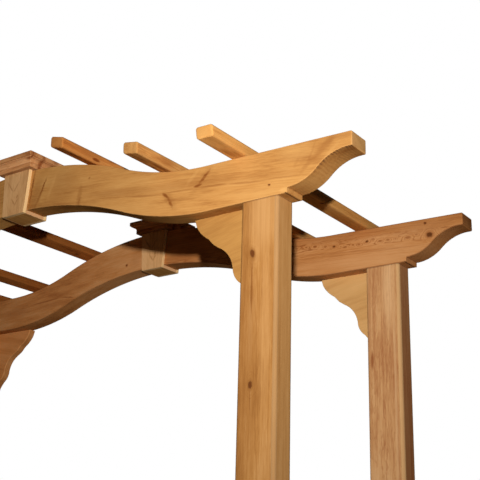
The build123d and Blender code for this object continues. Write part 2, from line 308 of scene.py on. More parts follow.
def noise(tree, vector, scale, detail=3.0, roughness=0.55, distortion=0.0):
    """Soft noise between 0 and 1, with cells about 1 / scale metres wide."""
    made = node(tree, "TexNoise")
    feed(tree, made.inputs["Vector"], vector)
    made.inputs["Scale"].default_value = scale
    made.inputs["Detail"].default_value = detail
    made.inputs["Roughness"].default_value = roughness
    made.inputs["Distortion"].default_value = distortion
    return made.outputs[0]


def read(tree, name, output="Fac"):
    """What the mesh keeps under this name at each vertex."""
    return node(tree, "Attribute", attribute_name=name).outputs[output]


print("helpers for finishes:", ", ".join(helper.__name__ for helper in (ramp, blend, noise, read)))

# %% [markdown]
# One node group holds the cedar, and every timber has a material that feeds it its own heart,
# ring width, tones, knots and stains. The tones are the three that planed cedar shows: pale early
# wood, honey body and the red-brown of late wood and knots. A single number, the tone of the spot,
# slides between them, so that clouds, streaks and fibres all change colour the way the wood does.

# %% What a timber tells the cedar
CEDAR_INPUTS = (
    ("Place", "NodeSocketVector", (0, 0, 0)),
    ("Knot", "NodeSocketFloat", 9.0),
    ("Push", "NodeSocketFloat", 0.0),
    ("Stain and shade", "NodeSocketFloat", 0.0),
    ("Bloom and highlight", "NodeSocketFloat", 0.0),
    ("Heart across", "NodeSocketFloat", 0.0),
    ("Heart depth", "NodeSocketFloat", 0.2),
    ("Taper", "NodeSocketFloat", 0.02),
    ("Ring width", "NodeSocketFloat", 0.004),
    ("Islands", "NodeSocketFloat", 0.003),
    ("Figure", "NodeSocketFloat", 0.5),
    ("Figure reach", "NodeSocketFloat", 1.0),
    ("Streaks", "NodeSocketFloat", 0.7),
    ("Ripple", "NodeSocketFloat", 0.5),
    ("Clouds", "NodeSocketFloat", 0.7),
    ("Drift", "NodeSocketVector", (0, 0, 0)),
    ("Wear", "NodeSocketFloat", 0.3),
    ("Chatter", "NodeSocketFloat", 0.0),
    ("Pale", "NodeSocketColor", (1, 1, 1, 1)),
    ("Honey", "NodeSocketColor", (1, 1, 1, 1)),
    ("Ember", "NodeSocketColor", (1, 1, 1, 1)),
    ("Worn and painted light", "NodeSocketColor", (1, 1, 1, 1)),
    ("Seed", "NodeSocketVector", (0, 0, 0)),
)
print("inputs of the cedar group:", len(CEDAR_INPUTS))

# %% [markdown]
# The rings come first. Around a knot the distance from the heart grows a little, so the lines bend
# round it. Each ring darkens towards its late wood and ends sharply, and a slow noise along the
# count makes good years and lean years. Away from the heart line of a board the rings stand closer
# to upright, and their lines fade there.

# %% The growth rings
RING_WAVERS = (1.1, 7.0, 0.030), (5.0, 22.0, 0.004)
ISLAND_CELLS = 14.0, 60.0


def grain_noise(tree, place, along, across, detail=2.0, distortion=0.0):
    """Noise around 0 whose cells are 1/along metres long on the grain and 1/across wide."""
    stretched = vectors(tree, "MULTIPLY", place, (along, across, across))
    return maths(tree, "SUBTRACT", noise(tree, stretched, 1.0, detail, 0.6, distortion), 0.5)


def growth_rings(tree, given, seeded, parts):
    """Ring count = distance from the heart / ring width; late wood is the end of each ring."""
    across = maths(tree, "SUBTRACT", parts[1], given["Heart across"])
    depth = maths(tree, "SUBTRACT", parts[2], given["Heart depth"])
    squares = maths(tree, "ADD", maths(tree, "POWER", across, 2.0), maths(tree, "POWER", depth, 2.0))
    radius = maths(tree, "MULTIPLY_ADD", parts[0], given["Taper"], maths(tree, "SQRT", squares))
    for along, over, strength in (*RING_WAVERS, (*ISLAND_CELLS, given["Islands"])):
        radius = maths(tree, "MULTIPLY_ADD", grain_noise(tree, seeded, along, over), strength, radius)
    radius = maths(tree, "ADD", radius, ramp(tree, given["Knot"], 0.6, 4.5, 0.012, 0.0))
    radius = maths(tree, "ADD", radius, given["Push"])
    count = maths(tree, "DIVIDE", radius, given["Ring width"])
    fraction = maths(tree, "FRACT", count)
    late_begins, ring_ends = ramp(tree, fraction, 0.30, 0.88), ramp(tree, fraction, 0.90, 1.0, 1.0, 0.0)
    late = maths(tree, "MULTIPLY", late_begins, ring_ends)
    years = node(tree, "TexNoise", noise_dimensions="1D")
    feed(tree, years.inputs["W"], maths(tree, "MULTIPLY", count, 0.37))
    years.inputs["Detail"].default_value = 3.0
    good_year = ramp(tree, years.outputs[0], 0.38, 0.66)
    lines = maths(tree, "MULTIPLY", late, maths(tree, "MULTIPLY_ADD", good_year, 0.9, 0.1))
    away = maths(tree, "DIVIDE", maths(tree, "ABSOLUTE", across), given["Figure reach"])
    return maths(tree, "MULTIPLY", lines, ramp(tree, away, 0.6, 1.2, 1.0, 0.15)), years.outputs[0]


for along, over, strength in RING_WAVERS:
    print("rings waver by up to", strength * 1000, "mm over", round(1 / along, 1), "m of grain")

# %% [markdown]
# The tone of a spot adds up from broad clouds, streaks about a centimetre wide, short ripples and
# fibres, which are all noises, long on the grain and narrow across it. Stains are where a branch or
# pitch darkens the wood, and bloom is where it stays pale; on a few timbers a stain is painted shade
# and a bloom is a painted highlight. A painted image could hold all this too, but a solid texture
# also fits the ends and edges, and needs no unwrapping.

# %% Colour of the wood
def wood_colour(tree, given, seeded, lines, years):
    """Tone 0 is ember, 0.5 honey and 1 pale; clouds, streaks, ripples and a tilt along the place, on one beam
    painted shade, add up to it.
    """
    clouds = maths(tree, "MULTIPLY", grain_noise(tree, seeded, 2.2, 9.0), 1.5)
    clouds = maths(tree, "MULTIPLY_ADD", grain_noise(tree, seeded, 6.0, 34.0), 0.9, clouds)
    streak = grain_noise(tree, seeded, 2.2, 95.0, 3.0)
    fibre = grain_noise(tree, seeded, 9.0, 380.0, 2.0)
    streaks = maths(tree, "MULTIPLY_ADD", streak, 1.1, maths(tree, "MULTIPLY", fibre, 0.9))
    # A tilt of tone along the place; on the rear left beam it is painted shade.
    tone = maths(tree, "ADD", vectors(tree, "DOT_PRODUCT", given["Place"], given["Drift"]), 0.5)
    tone = maths(tree, "MULTIPLY_ADD", clouds, given["Clouds"], tone)
    tone = maths(tree, "MULTIPLY_ADD", streaks, given["Streaks"], tone)
    ripples = grain_noise(tree, seeded, 28.0, 250.0, 1.0, 0.5)
    tone = maths(tree, "MULTIPLY_ADD", ripples, given["Ripple"], tone)
    band = maths(tree, "MULTIPLY", ramp(tree, years, 0.42, 0.75), given["Figure"])
    tone = maths(tree, "MULTIPLY_ADD", band, -0.20, tone)
    towards_pale = maths(tree, "MULTIPLY_ADD", tone, 2.0, -1.0, clamp=True)
    towards_ember = maths(tree, "MULTIPLY_ADD", tone, -2.0, 1.0, clamp=True)
    colour = blend(tree, towards_pale, given["Honey"], given["Pale"])
    colour = blend(tree, towards_ember, colour, given["Ember"])
    colour = blend(tree, maths(tree, "MULTIPLY", lines, given["Figure"]), colour, given["Ember"])
    patchy = maths(tree, "MULTIPLY_ADD", streak, 1.6, 1.0)
    # Stains darken and blooms lighten; a few of them are painted shade and painted highlight.
    stain = maths(tree, "MULTIPLY", given["Stain and shade"], patchy, clamp=True)
    dark = blend(tree, 1.0, given["Ember"], (0.82, 0.72, 0.66, 1), "MULTIPLY")
    colour = blend(tree, stain, colour, dark)
    bloom = maths(tree, "MULTIPLY", given["Bloom and highlight"], patchy, clamp=True)
    return blend(tree, bloom, colour, given["Pale"]), fibre, patchy


print("fibres are about", round(1000 / 380, 1), "mm wide, streaks about", round(1000 / 95), "mm")

# %% [markdown]
# A knot is the foot of a branch: an orange halo in the wood around it, a dark rim of bark and a core
# with rings of its own. All three follow from one number, the distance from the middle of the knot
# counted in its own size, so a knot of any size and shape gets them in proportion.

# %% Colour of a knot
KNOT_RINGS = (0.090, 0.026, 0.007, 1), (0.175, 0.055, 0.014, 1)
KNOT_RIM = (0.070, 0.025, 0.010, 1)


def knot_colour(tree, given, colour):
    """Orange halo, dark rim and a ringed core; the knot distance is 1 on the rim."""
    colour = blend(tree, ramp(tree, given["Knot"], 0.9, 2.6, 0.75, 0.0), colour, given["Ember"])
    core = ramp(tree, given["Knot"], 0.70, 1.20, 1.0, 0.0)
    rings = maths(tree, "FRACT", maths(tree, "MULTIPLY", given["Knot"], 3.3))
    colour = blend(tree, core, colour, blend(tree, rings, *KNOT_RINGS))
    inside = ramp(tree, given["Knot"], 0.75, 1.0)
    outside = ramp(tree, given["Knot"], 1.0, 1.3, 1.0, 0.0)
    rim = maths(tree, "MULTIPLY", inside, outside)
    return blend(tree, maths(tree, "MULTIPLY", rim, 0.5), colour, KNOT_RIM), core


print("rim of a knot in linear colour:", KNOT_RIM[:3])

# %% [markdown]
# Work and use leave marks over the wood. Cut ends and sawn curves are darker, the band saw ripples
# the curves, and on the scroll of the front tail its teeth tore dark notches along the near edge.
# Edges are worn by hands and weather, and on some timbers the edge colour is painted light as well.
# Where timbers meet, the wood is darkened, partly as grime and partly as painted shade. The mesh says
# where each of these is, so they stay in place however the timber was sawn from its tree.

# %% Marks of work and use
# The second colour is the dark brown of joints: grime, with painted shade where parts meet.
TORN, JOINT_DIRT_AND_SHADE = (0.150, 0.064, 0.025, 1), (0.060, 0.020, 0.009, 1)
# Where the marks of the tail begin and are full, in metres along a beam's grain from the middle of
# its half, and for the notches also into the depth and across.
SCROLL_FROM, TIP_FROM, NOTCH_FROM = (0.500, 0.560), (0.585, 0.650), (0.605, 0.640)
NOTCH_DEPTH, NOTCH_ACROSS = (-0.0690, -0.0480), (0.035, 0.050)


def saw_bands(tree, seeded):
    """Sine of the place along the grain, one band every 9 mm, bent by noise."""
    bands = node(tree, "TexWave", wave_type="BANDS", bands_direction="X")
    feed(tree, bands.inputs["Vector"], seeded)
    for key, value in {"Scale": 34.0, "Distortion": 5.0, "Detail": 1.0, "Detail Scale": 0.8}.items():
        bands.inputs[key].default_value = value
    return bands.outputs["Fac"]


def worked_surface(tree, given, seeded, parts, colour, patchy):
    """Marks in turn: end grain, saw bands, rubbed edges partly painted light, torn notches, joints with grime
    and painted shade.
    """
    edge, cut_end, sawn = read(tree, "eased_edge"), read(tree, "cut_end"), read(tree, "sawn_curve")
    colour = blend(tree, maths(tree, "MULTIPLY", cut_end, 0.40), colour, given["Worn and painted light"])
    marks = saw_bands(tree, seeded)
    blunt = noise(tree, seeded, 26.0, 2.0)
    tip = maths(tree, "MULTIPLY", ramp(tree, parts[0], *TIP_FROM), given["Chatter"])
    bite = ramp(tree, maths(tree, "MULTIPLY_ADD", tip, 0.15, blunt), 0.42, 0.62)
    saw = maths(tree, "MULTIPLY", maths(tree, "MULTIPLY", marks, bite), sawn)
    scroll = ramp(tree, parts[0], *SCROLL_FROM, 0.05, 0.25)
    colour = blend(tree, maths(tree, "MULTIPLY", sawn, scroll), colour, given["Ember"])
    saw_strength = maths(tree, "MULTIPLY_ADD", tip, 0.22, 0.14)
    colour = blend(tree, maths(tree, "MULTIPLY", saw, saw_strength), colour, given["Ember"])
    tip_shade = maths(tree, "MULTIPLY", maths(tree, "MULTIPLY", tip, sawn), 0.12)
    colour = blend(tree, tip_shade, colour, given["Ember"])
    # The edge colour is wear, and on some timbers painted light: a highlight on lit sides and corners, shade on
    # the rear beams' edges.
    worn_and_painted_light = maths(tree, "MULTIPLY", maths(tree, "MULTIPLY", edge, given["Wear"]), patchy, clamp=True)
    colour = blend(tree, worn_and_painted_light, colour, given["Worn and painted light"])

    depth = maths(tree, "MULTIPLY_ADD", blunt, -0.050, parts[2])
    near_face = ramp(tree, depth, *NOTCH_DEPTH, 1.0, 0.0)
    reach = maths(tree, "MULTIPLY", near_face, ramp(tree, parts[0], *NOTCH_FROM))
    reach = maths(tree, "MULTIPLY", reach, ramp(tree, parts[1], *NOTCH_ACROSS, 1.0, 0.0))
    teeth = maths(tree, "MULTIPLY", ramp(tree, marks, 0.35, 0.80), reach)
    teeth = maths(tree, "MULTIPLY", maths(tree, "MULTIPLY", teeth, sawn), given["Chatter"])
    colour = blend(tree, teeth, colour, TORN)
    # Where parts meet, grime and painted shade darken the wood.
    colour = blend(tree, maths(tree, "MULTIPLY", read(tree, "joint_dirt"), 0.8), colour, JOINT_DIRT_AND_SHADE)
    return colour, cut_end, sawn, saw, teeth


print("linear colours of torn wood and of dirt:", TORN[:3], JOINT_DIRT_AND_SHADE[:3])

# %% [markdown]
# Now the steps become one group. Every timber uses it, so a change here shows on the whole arbor,
# and the file stays small. Besides the colour it gives a roughness and a height for the bump: late
# wood stands up a little from planed early wood, and fibres and saw marks can be felt.

# %% The cedar group
def cedar_group():
    """Wood, knots, then marks; roughness and relief follow fibres, rings, saw marks and knots."""
    tree = bpy.data.node_groups.new("planed cedar", "ShaderNodeTree")
    for label, kind, default in CEDAR_INPUTS:
        tree.interface.new_socket(label, in_out="INPUT", socket_type=kind).default_value = default
    tree.interface.new_socket("Color", in_out="OUTPUT", socket_type="NodeSocketColor")
    tree.interface.new_socket("Roughness", in_out="OUTPUT", socket_type="NodeSocketFloat")
    tree.interface.new_socket("Relief", in_out="OUTPUT", socket_type="NodeSocketFloat")
    given = tree.nodes.new("NodeGroupInput").outputs
    wanted = tree.nodes.new("NodeGroupOutput").inputs
    seeded = vectors(tree, "ADD", given["Place"], given["Seed"])
    split = node(tree, "SeparateXYZ")
    feed(tree, split.inputs[0], given["Place"])
    parts = split.outputs
    lines, years = growth_rings(tree, given, seeded, parts)
    colour, fibre, patchy = wood_colour(tree, given, seeded, lines, years)
    colour, core = knot_colour(tree, given, colour)
    colour, cut_end, sawn, saw, teeth = worked_surface(tree, given, seeded, parts, colour, patchy)

    rough = maths(tree, "MULTIPLY_ADD", fibre, 0.20, 0.70)
    for mark, strength in ((lines, -0.06), (cut_end, 0.14), (sawn, 0.08)):
        rough = maths(tree, "MULTIPLY_ADD", mark, strength, rough)
    relief = maths(tree, "MULTIPLY_ADD", fibre, 0.9, 0.4)
    for mark, strength in ((lines, 0.35), (saw, 0.9), (core, 0.5), (teeth, -1.5)):
        relief = maths(tree, "MULTIPLY_ADD", mark, strength, relief)
    feed(tree, wanted["Color"], colour)
    feed(tree, wanted["Roughness"], rough)
    feed(tree, wanted["Relief"], relief)
    return tree


CEDAR = cedar_group()
print("nodes in the cedar group:", len(CEDAR.nodes))

# %% [markdown]
# One stack of planed cedar runs from pale straw to fox red. Each row is one kind of board in it,
# with the linear colours of its pale early wood, its honey body and its ember, which is the colour
# of late wood and of knots. Four finishes would do for four slots, but the timbers in the photograph
# differ more than that from board to board.

# %% Tones of the boards
TONES = {
    "beam": ((0.615, 0.320, 0.100), (0.515, 0.241, 0.066), (0.290, 0.104, 0.024)),
    "russet": ((0.615, 0.300, 0.118), (0.505, 0.206, 0.062), (0.300, 0.096, 0.025)),
    "dusk": ((0.400, 0.140, 0.032), (0.330, 0.104, 0.021), (0.180, 0.050, 0.010)),
    "amber": ((0.510, 0.262, 0.092), (0.400, 0.180, 0.049), (0.250, 0.095, 0.022)),
    "rose": ((0.700, 0.410, 0.195), (0.590, 0.305, 0.124), (0.360, 0.130, 0.046)),
    "gold": ((0.530, 0.270, 0.078), (0.440, 0.213, 0.056), (0.300, 0.125, 0.030)),
    "straw": ((0.700, 0.400, 0.160), (0.610, 0.330, 0.115), (0.430, 0.195, 0.060)),
    "sand": ((0.750, 0.440, 0.205), (0.660, 0.355, 0.144), (0.380, 0.170, 0.056)),
    "clay": ((0.740, 0.380, 0.165), (0.640, 0.290, 0.108), (0.340, 0.118, 0.036)),
    "oat": ((0.740, 0.370, 0.110), (0.660, 0.305, 0.080), (0.440, 0.165, 0.036)),
    "maize": ((0.690, 0.355, 0.112), (0.585, 0.272, 0.076), (0.340, 0.122, 0.028)),
    "ginger": ((0.720, 0.350, 0.140), (0.610, 0.248, 0.075), (0.340, 0.112, 0.030)),
    "rust": ((0.640, 0.262, 0.068), (0.540, 0.188, 0.040), (0.270, 0.077, 0.016)),
}
print("kinds of board:", ", ".join(TONES))

# %% [markdown]
# A knot is an ellipsoid across the grain: a Mapping node of type Texture takes its middle, its turn
# and its half sizes, and the length of what comes out is 1 on its rim. The nearest of all the knots
# wins. Stains and bloom are drawn with the same node, long and thin where a branch was sawn
# lengthwise, wide and faint where a whole patch of the board is darker. The place is first shaken
# along the grain, so that none of them has a drawn outline.

# %% Knots, stains and bloom
KNOT_DEPTH, MARK_DEPTH = 0.045, 0.030


def ellipsoid(tree, place, middle, turn, half_length, half_width, half_depth):
    """Length of the place in units of the half sizes: 0 in the middle, 1 on the rim."""
    made = node(tree, "Mapping", vector_type="TEXTURE")
    feed(tree, made.inputs["Vector"], place)
    made.inputs["Location"].default_value = middle
    made.inputs["Rotation"].default_value = (0.0, 0.0, turn)
    made.inputs["Scale"].default_value = (half_length, half_width, half_depth)
    return vectors(tree, "LENGTH", made.outputs[0])


def shaken_place(tree, along, across, amount):
    """Place in the tree plus amount x noise, along and across the grain."""
    place = read(tree, "tree_place", "Vector")
    wobble = node(tree, "TexNoise")
    feed(tree, wobble.inputs["Vector"], vectors(tree, "MULTIPLY", place, (along, across, across)))
    wobble.inputs["Scale"].default_value = 1.0
    shift = vectors(tree, "SUBTRACT", wobble.outputs["Color"], (0.5, 0.5, 0.5))
    return vectors(tree, "ADD", place, vectors(tree, "MULTIPLY", shift, (amount, amount, 0.0)))


def nearest_knot(tree, knots):
    """The least of all the knots' distances, so that the nearest knot shows."""
    place, nearest = shaken_place(tree, 60.0, 60.0, 0.006), None
    for middle, turn, half_length, half_width in knots:
        far = ellipsoid(tree, place, middle, turn, half_length, half_width, KNOT_DEPTH)
        nearest = far if nearest is None else maths(tree, "MINIMUM", nearest, far)
    return nearest


def marks_amount(tree, marks):
    """Each mark fades evenly from its middle to its rim; the strongest wins."""
    place, most = shaken_place(tree, 14.0, 110.0, 0.010), None
    for middle, turn, half_length, half_width, strength, *half_depth in marks:
        far = ellipsoid(tree, place, middle, turn, half_length, half_width, *(half_depth or [MARK_DEPTH]))
        amount = ramp(tree, far, 0.25, 1.15, strength, 0.0)
        most = amount if most is None else maths(tree, "MAXIMUM", most, amount)
    return most


print("knots reach", KNOT_DEPTH, "m deep, stains and bloom", MARK_DEPTH, "m")

# %% [markdown]
# A mark is easiest to place where it is seen: on an upright face, in metres from the middle of the
# arbor and above the ground, with its turn from level. The tree of the timber turns that into its
# own coordinates. Timbers that the photograph doesn't show get knots by chance, from a fixed seed.

# %% Place the marks
def on_face(tree, face_y, *spots):
    """Spots are (x, z, degrees from level, half length, half width, ...) on an upright face."""
    found = []
    for x, z, degrees, half_length, half_width, *strength in spots:
        point = into_tree(np.array([x, face_y, z]), tree)
        grain, across, _ = tree[1] @ np.array([cos(radians(degrees)), 0.0, sin(radians(degrees))])
        found.append((tuple(point), atan2(across, grain), half_length, half_width, *strength))
    return found


def wild_knots(seed, length, width, count, size=(0.004, 0.010)):
    """Knots of a timber whose faces aren't in the photograph, spread along it by chance."""
    rng = np.random.default_rng(seed)
    knots = []
    for place in (np.arange(count) + rng.uniform(0.2, 0.8, count)) / count - 0.5:
        big = rng.uniform(*size)
        middle = (place * length, rng.uniform(-0.36, 0.36) * width, rng.choice([-0.02, 0.02]))
        knots.append((middle, rng.uniform(-0.5, 0.5), big * rng.uniform(1.0, 1.6), big))
    return knots


print("example of a knot:", on_face(tree_frame((0, 0, 0), ALONG_X), 0.0, (0.5, 0.1, 0, 0.01, 0.008)))

# %% [markdown]
# The material of one timber is the group with its own numbers. Bare cedar has hardly any shine, and
# the little there is turns dark undersides grey against a white background, so the specular level
# is zero. The grain stands up by less than a millimetre.

# %% A cedar material for one timber
GRAIN_STRENGTH, GRAIN_HEIGHT = 0.35, 0.0009


def cedar(
    name, tones, knots=(), stains=(), blooms=(), heart=(0.02, 0.16), seed=0, worn_and_painted_light=None, eyes=(), **numbers
):
    """Numbers are inputs of the group by name, with _ for a blank: figure, ring_width, drift..."""
    material = bpy.data.materials.new(name)
    material.use_nodes = True
    tree = material.node_tree
    shader = tree.nodes["Principled BSDF"]
    group = tree.nodes.new("ShaderNodeGroup")
    group.node_tree = CEDAR
    feed(tree, group.inputs["Place"], read(tree, "tree_place", "Vector"))
    if knots:
        feed(tree, group.inputs["Knot"], nearest_knot(tree, knots))
    for socket, marks in (("Stain and shade", stains), ("Bloom and highlight", blooms), ("Push", eyes)):
        if marks:
            feed(tree, group.inputs[socket], marks_amount(tree, marks))
    rng = np.random.default_rng(seed)
    group.inputs["Heart across"].default_value = heart[0]
    group.inputs["Heart depth"].default_value = heart[1]
    group.inputs["Seed"].default_value = tuple(rng.uniform(-9, 9, 3))
    for key, value in numbers.items():
        group.inputs[key.replace("_", " ").capitalize()].default_value = value
    for socket, tone in zip(("Pale", "Honey", "Ember"), TONES[tones]):
        group.inputs[socket].default_value = (*tone, 1.0)
    group.inputs["Worn and painted light"].default_value = (*(worn_and_painted_light or TONES[tones][0]), 1.0)
    relief = node(tree, "Bump", "raised grain")
    relief.inputs["Strength"].default_value = GRAIN_STRENGTH
    relief.inputs["Distance"].default_value = GRAIN_HEIGHT
    feed(tree, relief.inputs["Height"], group.outputs["Relief"])
    feed(tree, shader.inputs["Base Color"], group.outputs["Color"])
    feed(tree, shader.inputs["Roughness"], group.outputs["Roughness"])
    feed(tree, shader.inputs["Normal"], relief.outputs["Normal"])
    shader.inputs["Specular IOR Level"].default_value = 0.0
    return material


print("the grain stands up by about", round(GRAIN_HEIGHT * GRAIN_STRENGTH * 1000, 1), "mm")

# %% [markdown]
# Each finished timber replaces its imported node, rides on the one body of the arbor and takes the
# cedar material made for it. The imported node is only hidden: its solid still counts in the
# physics model, which is why a dressed timber has to keep the node's shape and place.

# %% Put a timber in place
PIECES = []


def dress(node_name, slot, rings, tree, material, **masks):
    """Skin the rings, with their places in the tree and their marks, and let them stand for the node."""
    piece = skin("dressed_" + node_name, rings, into_tree(rings, tree), masks)
    piece.data.materials.append(material)
    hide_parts(node_name)
    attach(piece, "root")
    PIECES.append(piece)
    print(f"{node_name}: {len(piece.data.polygons)} faces of {material.name}")


def with_blanks(node_name):
    """The node's name as words, for the name of its material."""
    return "cedar " + node_name.replace("_", " ")


print("name of a material:", with_blanks("post_rear_left"))

# %% [markdown]
# The posts are straight runs of 4 x 6 with generously rounded corners. They stand on the ground and
# carry the beams on their top ends, and the grain runs up. A cube with a Bevel modifier would have
# the shape, but not the places in the tree or the marks, so the section is carried up the post.

# %% Posts
POST_EASE = 0.011
POST_MIDDLE = (OPENING / 2 + POST_WIDTH / 2, FACE - POST_DEPTH / 2)


def post(node_name, side, row, material, tree):
    """The same rectangle at every height; its outer corners take the edge colour, which on the right posts is a
    painted highlight.
    """
    heights = np.append(np.linspace(0, POST_HEIGHT - 0.006, 60), [POST_HEIGHT - 0.0025, POST_HEIGHT])
    heights, shrink = eased_ends(heights, 0.002, 0.0)
    middle_x, middle_y = side * POST_MIDDLE[0], row * POST_MIDDLE[1]
    half_x, half_y = POST_WIDTH / 2 - shrink, POST_DEPTH / 2 - shrink
    section, on_edge = eased_rectangle(
        middle_x - half_x, middle_x + half_x, middle_y - half_y, middle_y + half_y, POST_EASE
    )
    rings = np.concatenate([section, np.broadcast_to(heights[:, None, None], (*section.shape[:2], 1))], -1)
    # A band at the top of the post is darkened: grime in the joint, and painted shade under the beam.
    dirt = np.clip((heights - POST_HEIGHT + 0.005) / 0.005, 0, 1) * 0.8
    # Outer corners take the edge colour in full: wear, and on the right posts a painted highlight.
    corner_wear_and_highlight = np.where(side * (section[..., 0] - middle_x) > 0, 1.0, 0.15) * on_edge
    dress(node_name, "post_cedar", rings, tree, material, eased_edge=corner_wear_and_highlight, joint_dirt=dirt[:, None])


def post_tree(side, row):
    """The grain runs up the post; across is to the right, and depth runs to the rear."""
    return tree_frame((side * POST_MIDDLE[0], row * POST_MIDDLE[1], POST_HEIGHT / 2), ALONG_Z)


print("posts stand", POST_HEIGHT, "m high at x =", round(POST_MIDDLE[0], 3), "y =", round(POST_MIDDLE[1], 3))

# %% [markdown]
# The front right post is the one nearest to the camera. The two knots on its face, the orange
# streaks through them and the paler wood at its top are where the photograph has them, and so is
# the pale line along the outer corner, a painted highlight. A row is (x, height, turn in degrees,
# half length, half width, strength), and knots have no strength, because they are always whole. The
# last bloom is written in the post's own coordinates, because it lies on its right side and not on
# the front; it paints that side and its corner paler, a painted highlight.

# %% Front right post
TOP = POST_HEIGHT
POST_WORN = (0.33, 0.182, 0.076)
tree = post_tree(1, -1)
knots = on_face(
    tree, -FACE,
    (1.131, TOP - 0.178, 106, 0.0125, 0.0068),
    (1.133, TOP - 0.586, 90, 0.0105, 0.0060),
    (1.176, TOP - 1.22, 80, 0.009, 0.006),
    (1.120, TOP - 1.71, 90, 0.011, 0.007),
)
stains = on_face(
    tree, -FACE,
    (1.131, TOP - 0.290, 90, 0.130, 0.0050, 0.75),
    (1.129, TOP - 0.200, 90, 0.045, 0.0100, 0.35),
    (1.133, TOP - 0.630, 90, 0.070, 0.0040, 0.55),
    (1.133, TOP - 0.570, 90, 0.040, 0.0080, 0.25),
    (1.120, TOP - 0.520, 90, 0.400, 0.0500, 0.28),
    (1.099, TOP - 0.250, 90, 0.300, 0.0016, 0.35),
    (1.112, TOP - 0.400, 90, 0.260, 0.0020, 0.30),
    (1.170, TOP - 0.380, 90, 0.330, 0.0016, 0.25),
    (1.209, TOP - 1.000, 90, 1.250, 0.0020, 0.25),
)
blooms = on_face(
    tree, -FACE,
    (1.168, TOP - 0.040, 90, 0.170, 0.065, 0.75),
    (1.150, TOP - 0.165, 90, 0.035, 0.010, 0.40),
    (1.182, TOP - 0.420, 90, 0.330, 0.024, 0.40),
)
# This bloom is a painted highlight on the right side and its corner.
blooms.append(((0.3, POST_WIDTH / 2, 0.0), 0.0, 1.6, 0.0140, 0.40, 0.060))
material = cedar(
    "cedar front right post", "amber", knots, stains, blooms, (-0.03, 0.13), 11, POST_WORN,
    taper=0.012, ring_width=0.0042, figure=0.18, wear=0.65, drift=(0, 2.4, 0), streaks=0.6,
)
post("post_front_right", 1, -1, material, tree)

# %% [markdown]
# The rear right post is rosier. Thin orange streaks run down from its top, a short dark one lies
# beside the bracket, and a pale line follows the outer corner, partly wear and partly a painted
# highlight. The right side is darker than the front, which is painted shade. The streaks are stains
# three or four millimetres wide and up to two thirds of a metre long.

# %% Rear right post
tree = post_tree(1, 1)
REAR_POST_FACE = FACE - POST_DEPTH
stains = on_face(
    tree, REAR_POST_FACE,
    (1.105, TOP - 0.360, 90, 0.045, 0.0080, 0.75),
    (1.112, TOP - 0.160, 90, 0.160, 0.0022, 0.50),
    (1.128, TOP - 0.110, 90, 0.200, 0.0016, 0.45),
    (1.146, TOP - 0.130, 90, 0.220, 0.0016, 0.50),
    (1.158, TOP - 0.200, 90, 0.260, 0.0018, 0.45),
    (1.180, TOP - 0.260, 90, 0.330, 0.0020, 0.40),
    (1.095, TOP - 0.300, 90, 0.400, 0.0100, 0.25),
)
blooms = on_face(
    tree, REAR_POST_FACE,
    (1.175, TOP - 0.100, 90, 0.200, 0.0300, 0.55),
    # This bloom by the outer corner is partly a painted highlight.
    (1.198, TOP - 0.500, 90, 0.600, 0.0070, 0.60),
)
# This stain is painted shade over the right side.
stains.append(((0.3, POST_WIDTH / 2, 0.0), 0.0, 1.6, 0.0140, 0.70, 0.090))
material = cedar(
    "cedar rear right post", "rose", [], stains, blooms, (-0.045, 0.085), 23, (0.62, 0.37, 0.16),
    taper=-0.02, ring_width=0.0046, islands=0.014, figure=0.42, wear=0.7,
)
post("post_rear_right", 1, 1, material, tree)

# %% [markdown]
# The photograph doesn't show the left posts. They come from the same stock, so they get the tones
# of the front right one, and knots spread by chance.

# %% Left posts
for seed, (node_name, side, row) in enumerate((("post_front_left", -1, -1), ("post_rear_left", -1, 1)), 21):
    knots = wild_knots(seed, POST_HEIGHT, POST_WIDTH, 5)
    material = cedar(
        with_blanks(node_name), "amber", knots, heart=(0.04, 0.12), seed=seed, worn_and_painted_light=POST_WORN,
        taper=-0.012, ring_width=0.0042, figure=0.30, wear=0.7,
    )
    post(node_name, side, row, material, post_tree(side, row))

# %% [markdown]
# A beam half is a section of constant thickness whose upper and lower edges follow two curves. The
# upper one is crest arc, hollow arc, straight shoulder. The lower one is the same arch 163 mm
# further down, a flat over the post, a small square tooth, and the scroll: a belly and a cove of
# the same radius. All of them are plain functions of the distance from the middle.

# %% Curves of the arched beam
SCROLL_SWEEP = 2 * atan(SCROLL_RISE / SCROLL_RUN)
SCROLL_RADIUS = SCROLL_RISE / 2 / (1 - cos(SCROLL_SWEEP))


def arch(x):
    """Crest arc, then hollow arc, then 0: height above the shoulder at a distance x."""
    crest = ARCH_RISE - CREST_RADIUS + np.sqrt(CREST_RADIUS**2 - np.minimum(x, CREST_END) ** 2)
    rest = np.clip(ARCH_END - x, 0, ARCH_END - CREST_END)
    hollow = HOLLOW_RADIUS - np.sqrt(HOLLOW_RADIUS**2 - rest**2)
    return np.where(x < CREST_END, crest, hollow)


def beam_top(x):
    """Arch above the shoulder; past the arch the top falls evenly to the tip."""
    fall = TAIL_FALL * np.clip(x - ARCH_END, 0, None) / (TAIL_TIP - ARCH_END)
    return SHOULDER + arch(x) - fall


def beam_under(x):
    """The arch again; past the tooth a step, then two equal arcs up to the tip."""
    run = np.clip(x - TOOTH, 0, SCROLL_RUN)
    half = SCROLL_RUN / 2
    belly = SCROLL_RADIUS - np.sqrt(SCROLL_RADIUS**2 - np.minimum(run, half) ** 2)
    cove = SCROLL_RISE - SCROLL_RADIUS + np.sqrt(SCROLL_RADIUS**2 - np.minimum(SCROLL_RUN - run, half) ** 2)
    scroll = TOOTH_STEP + np.where(run < half, belly, cove)
    return POST_HEIGHT + arch(x) + np.where(x > TOOTH, scroll, 0.0)


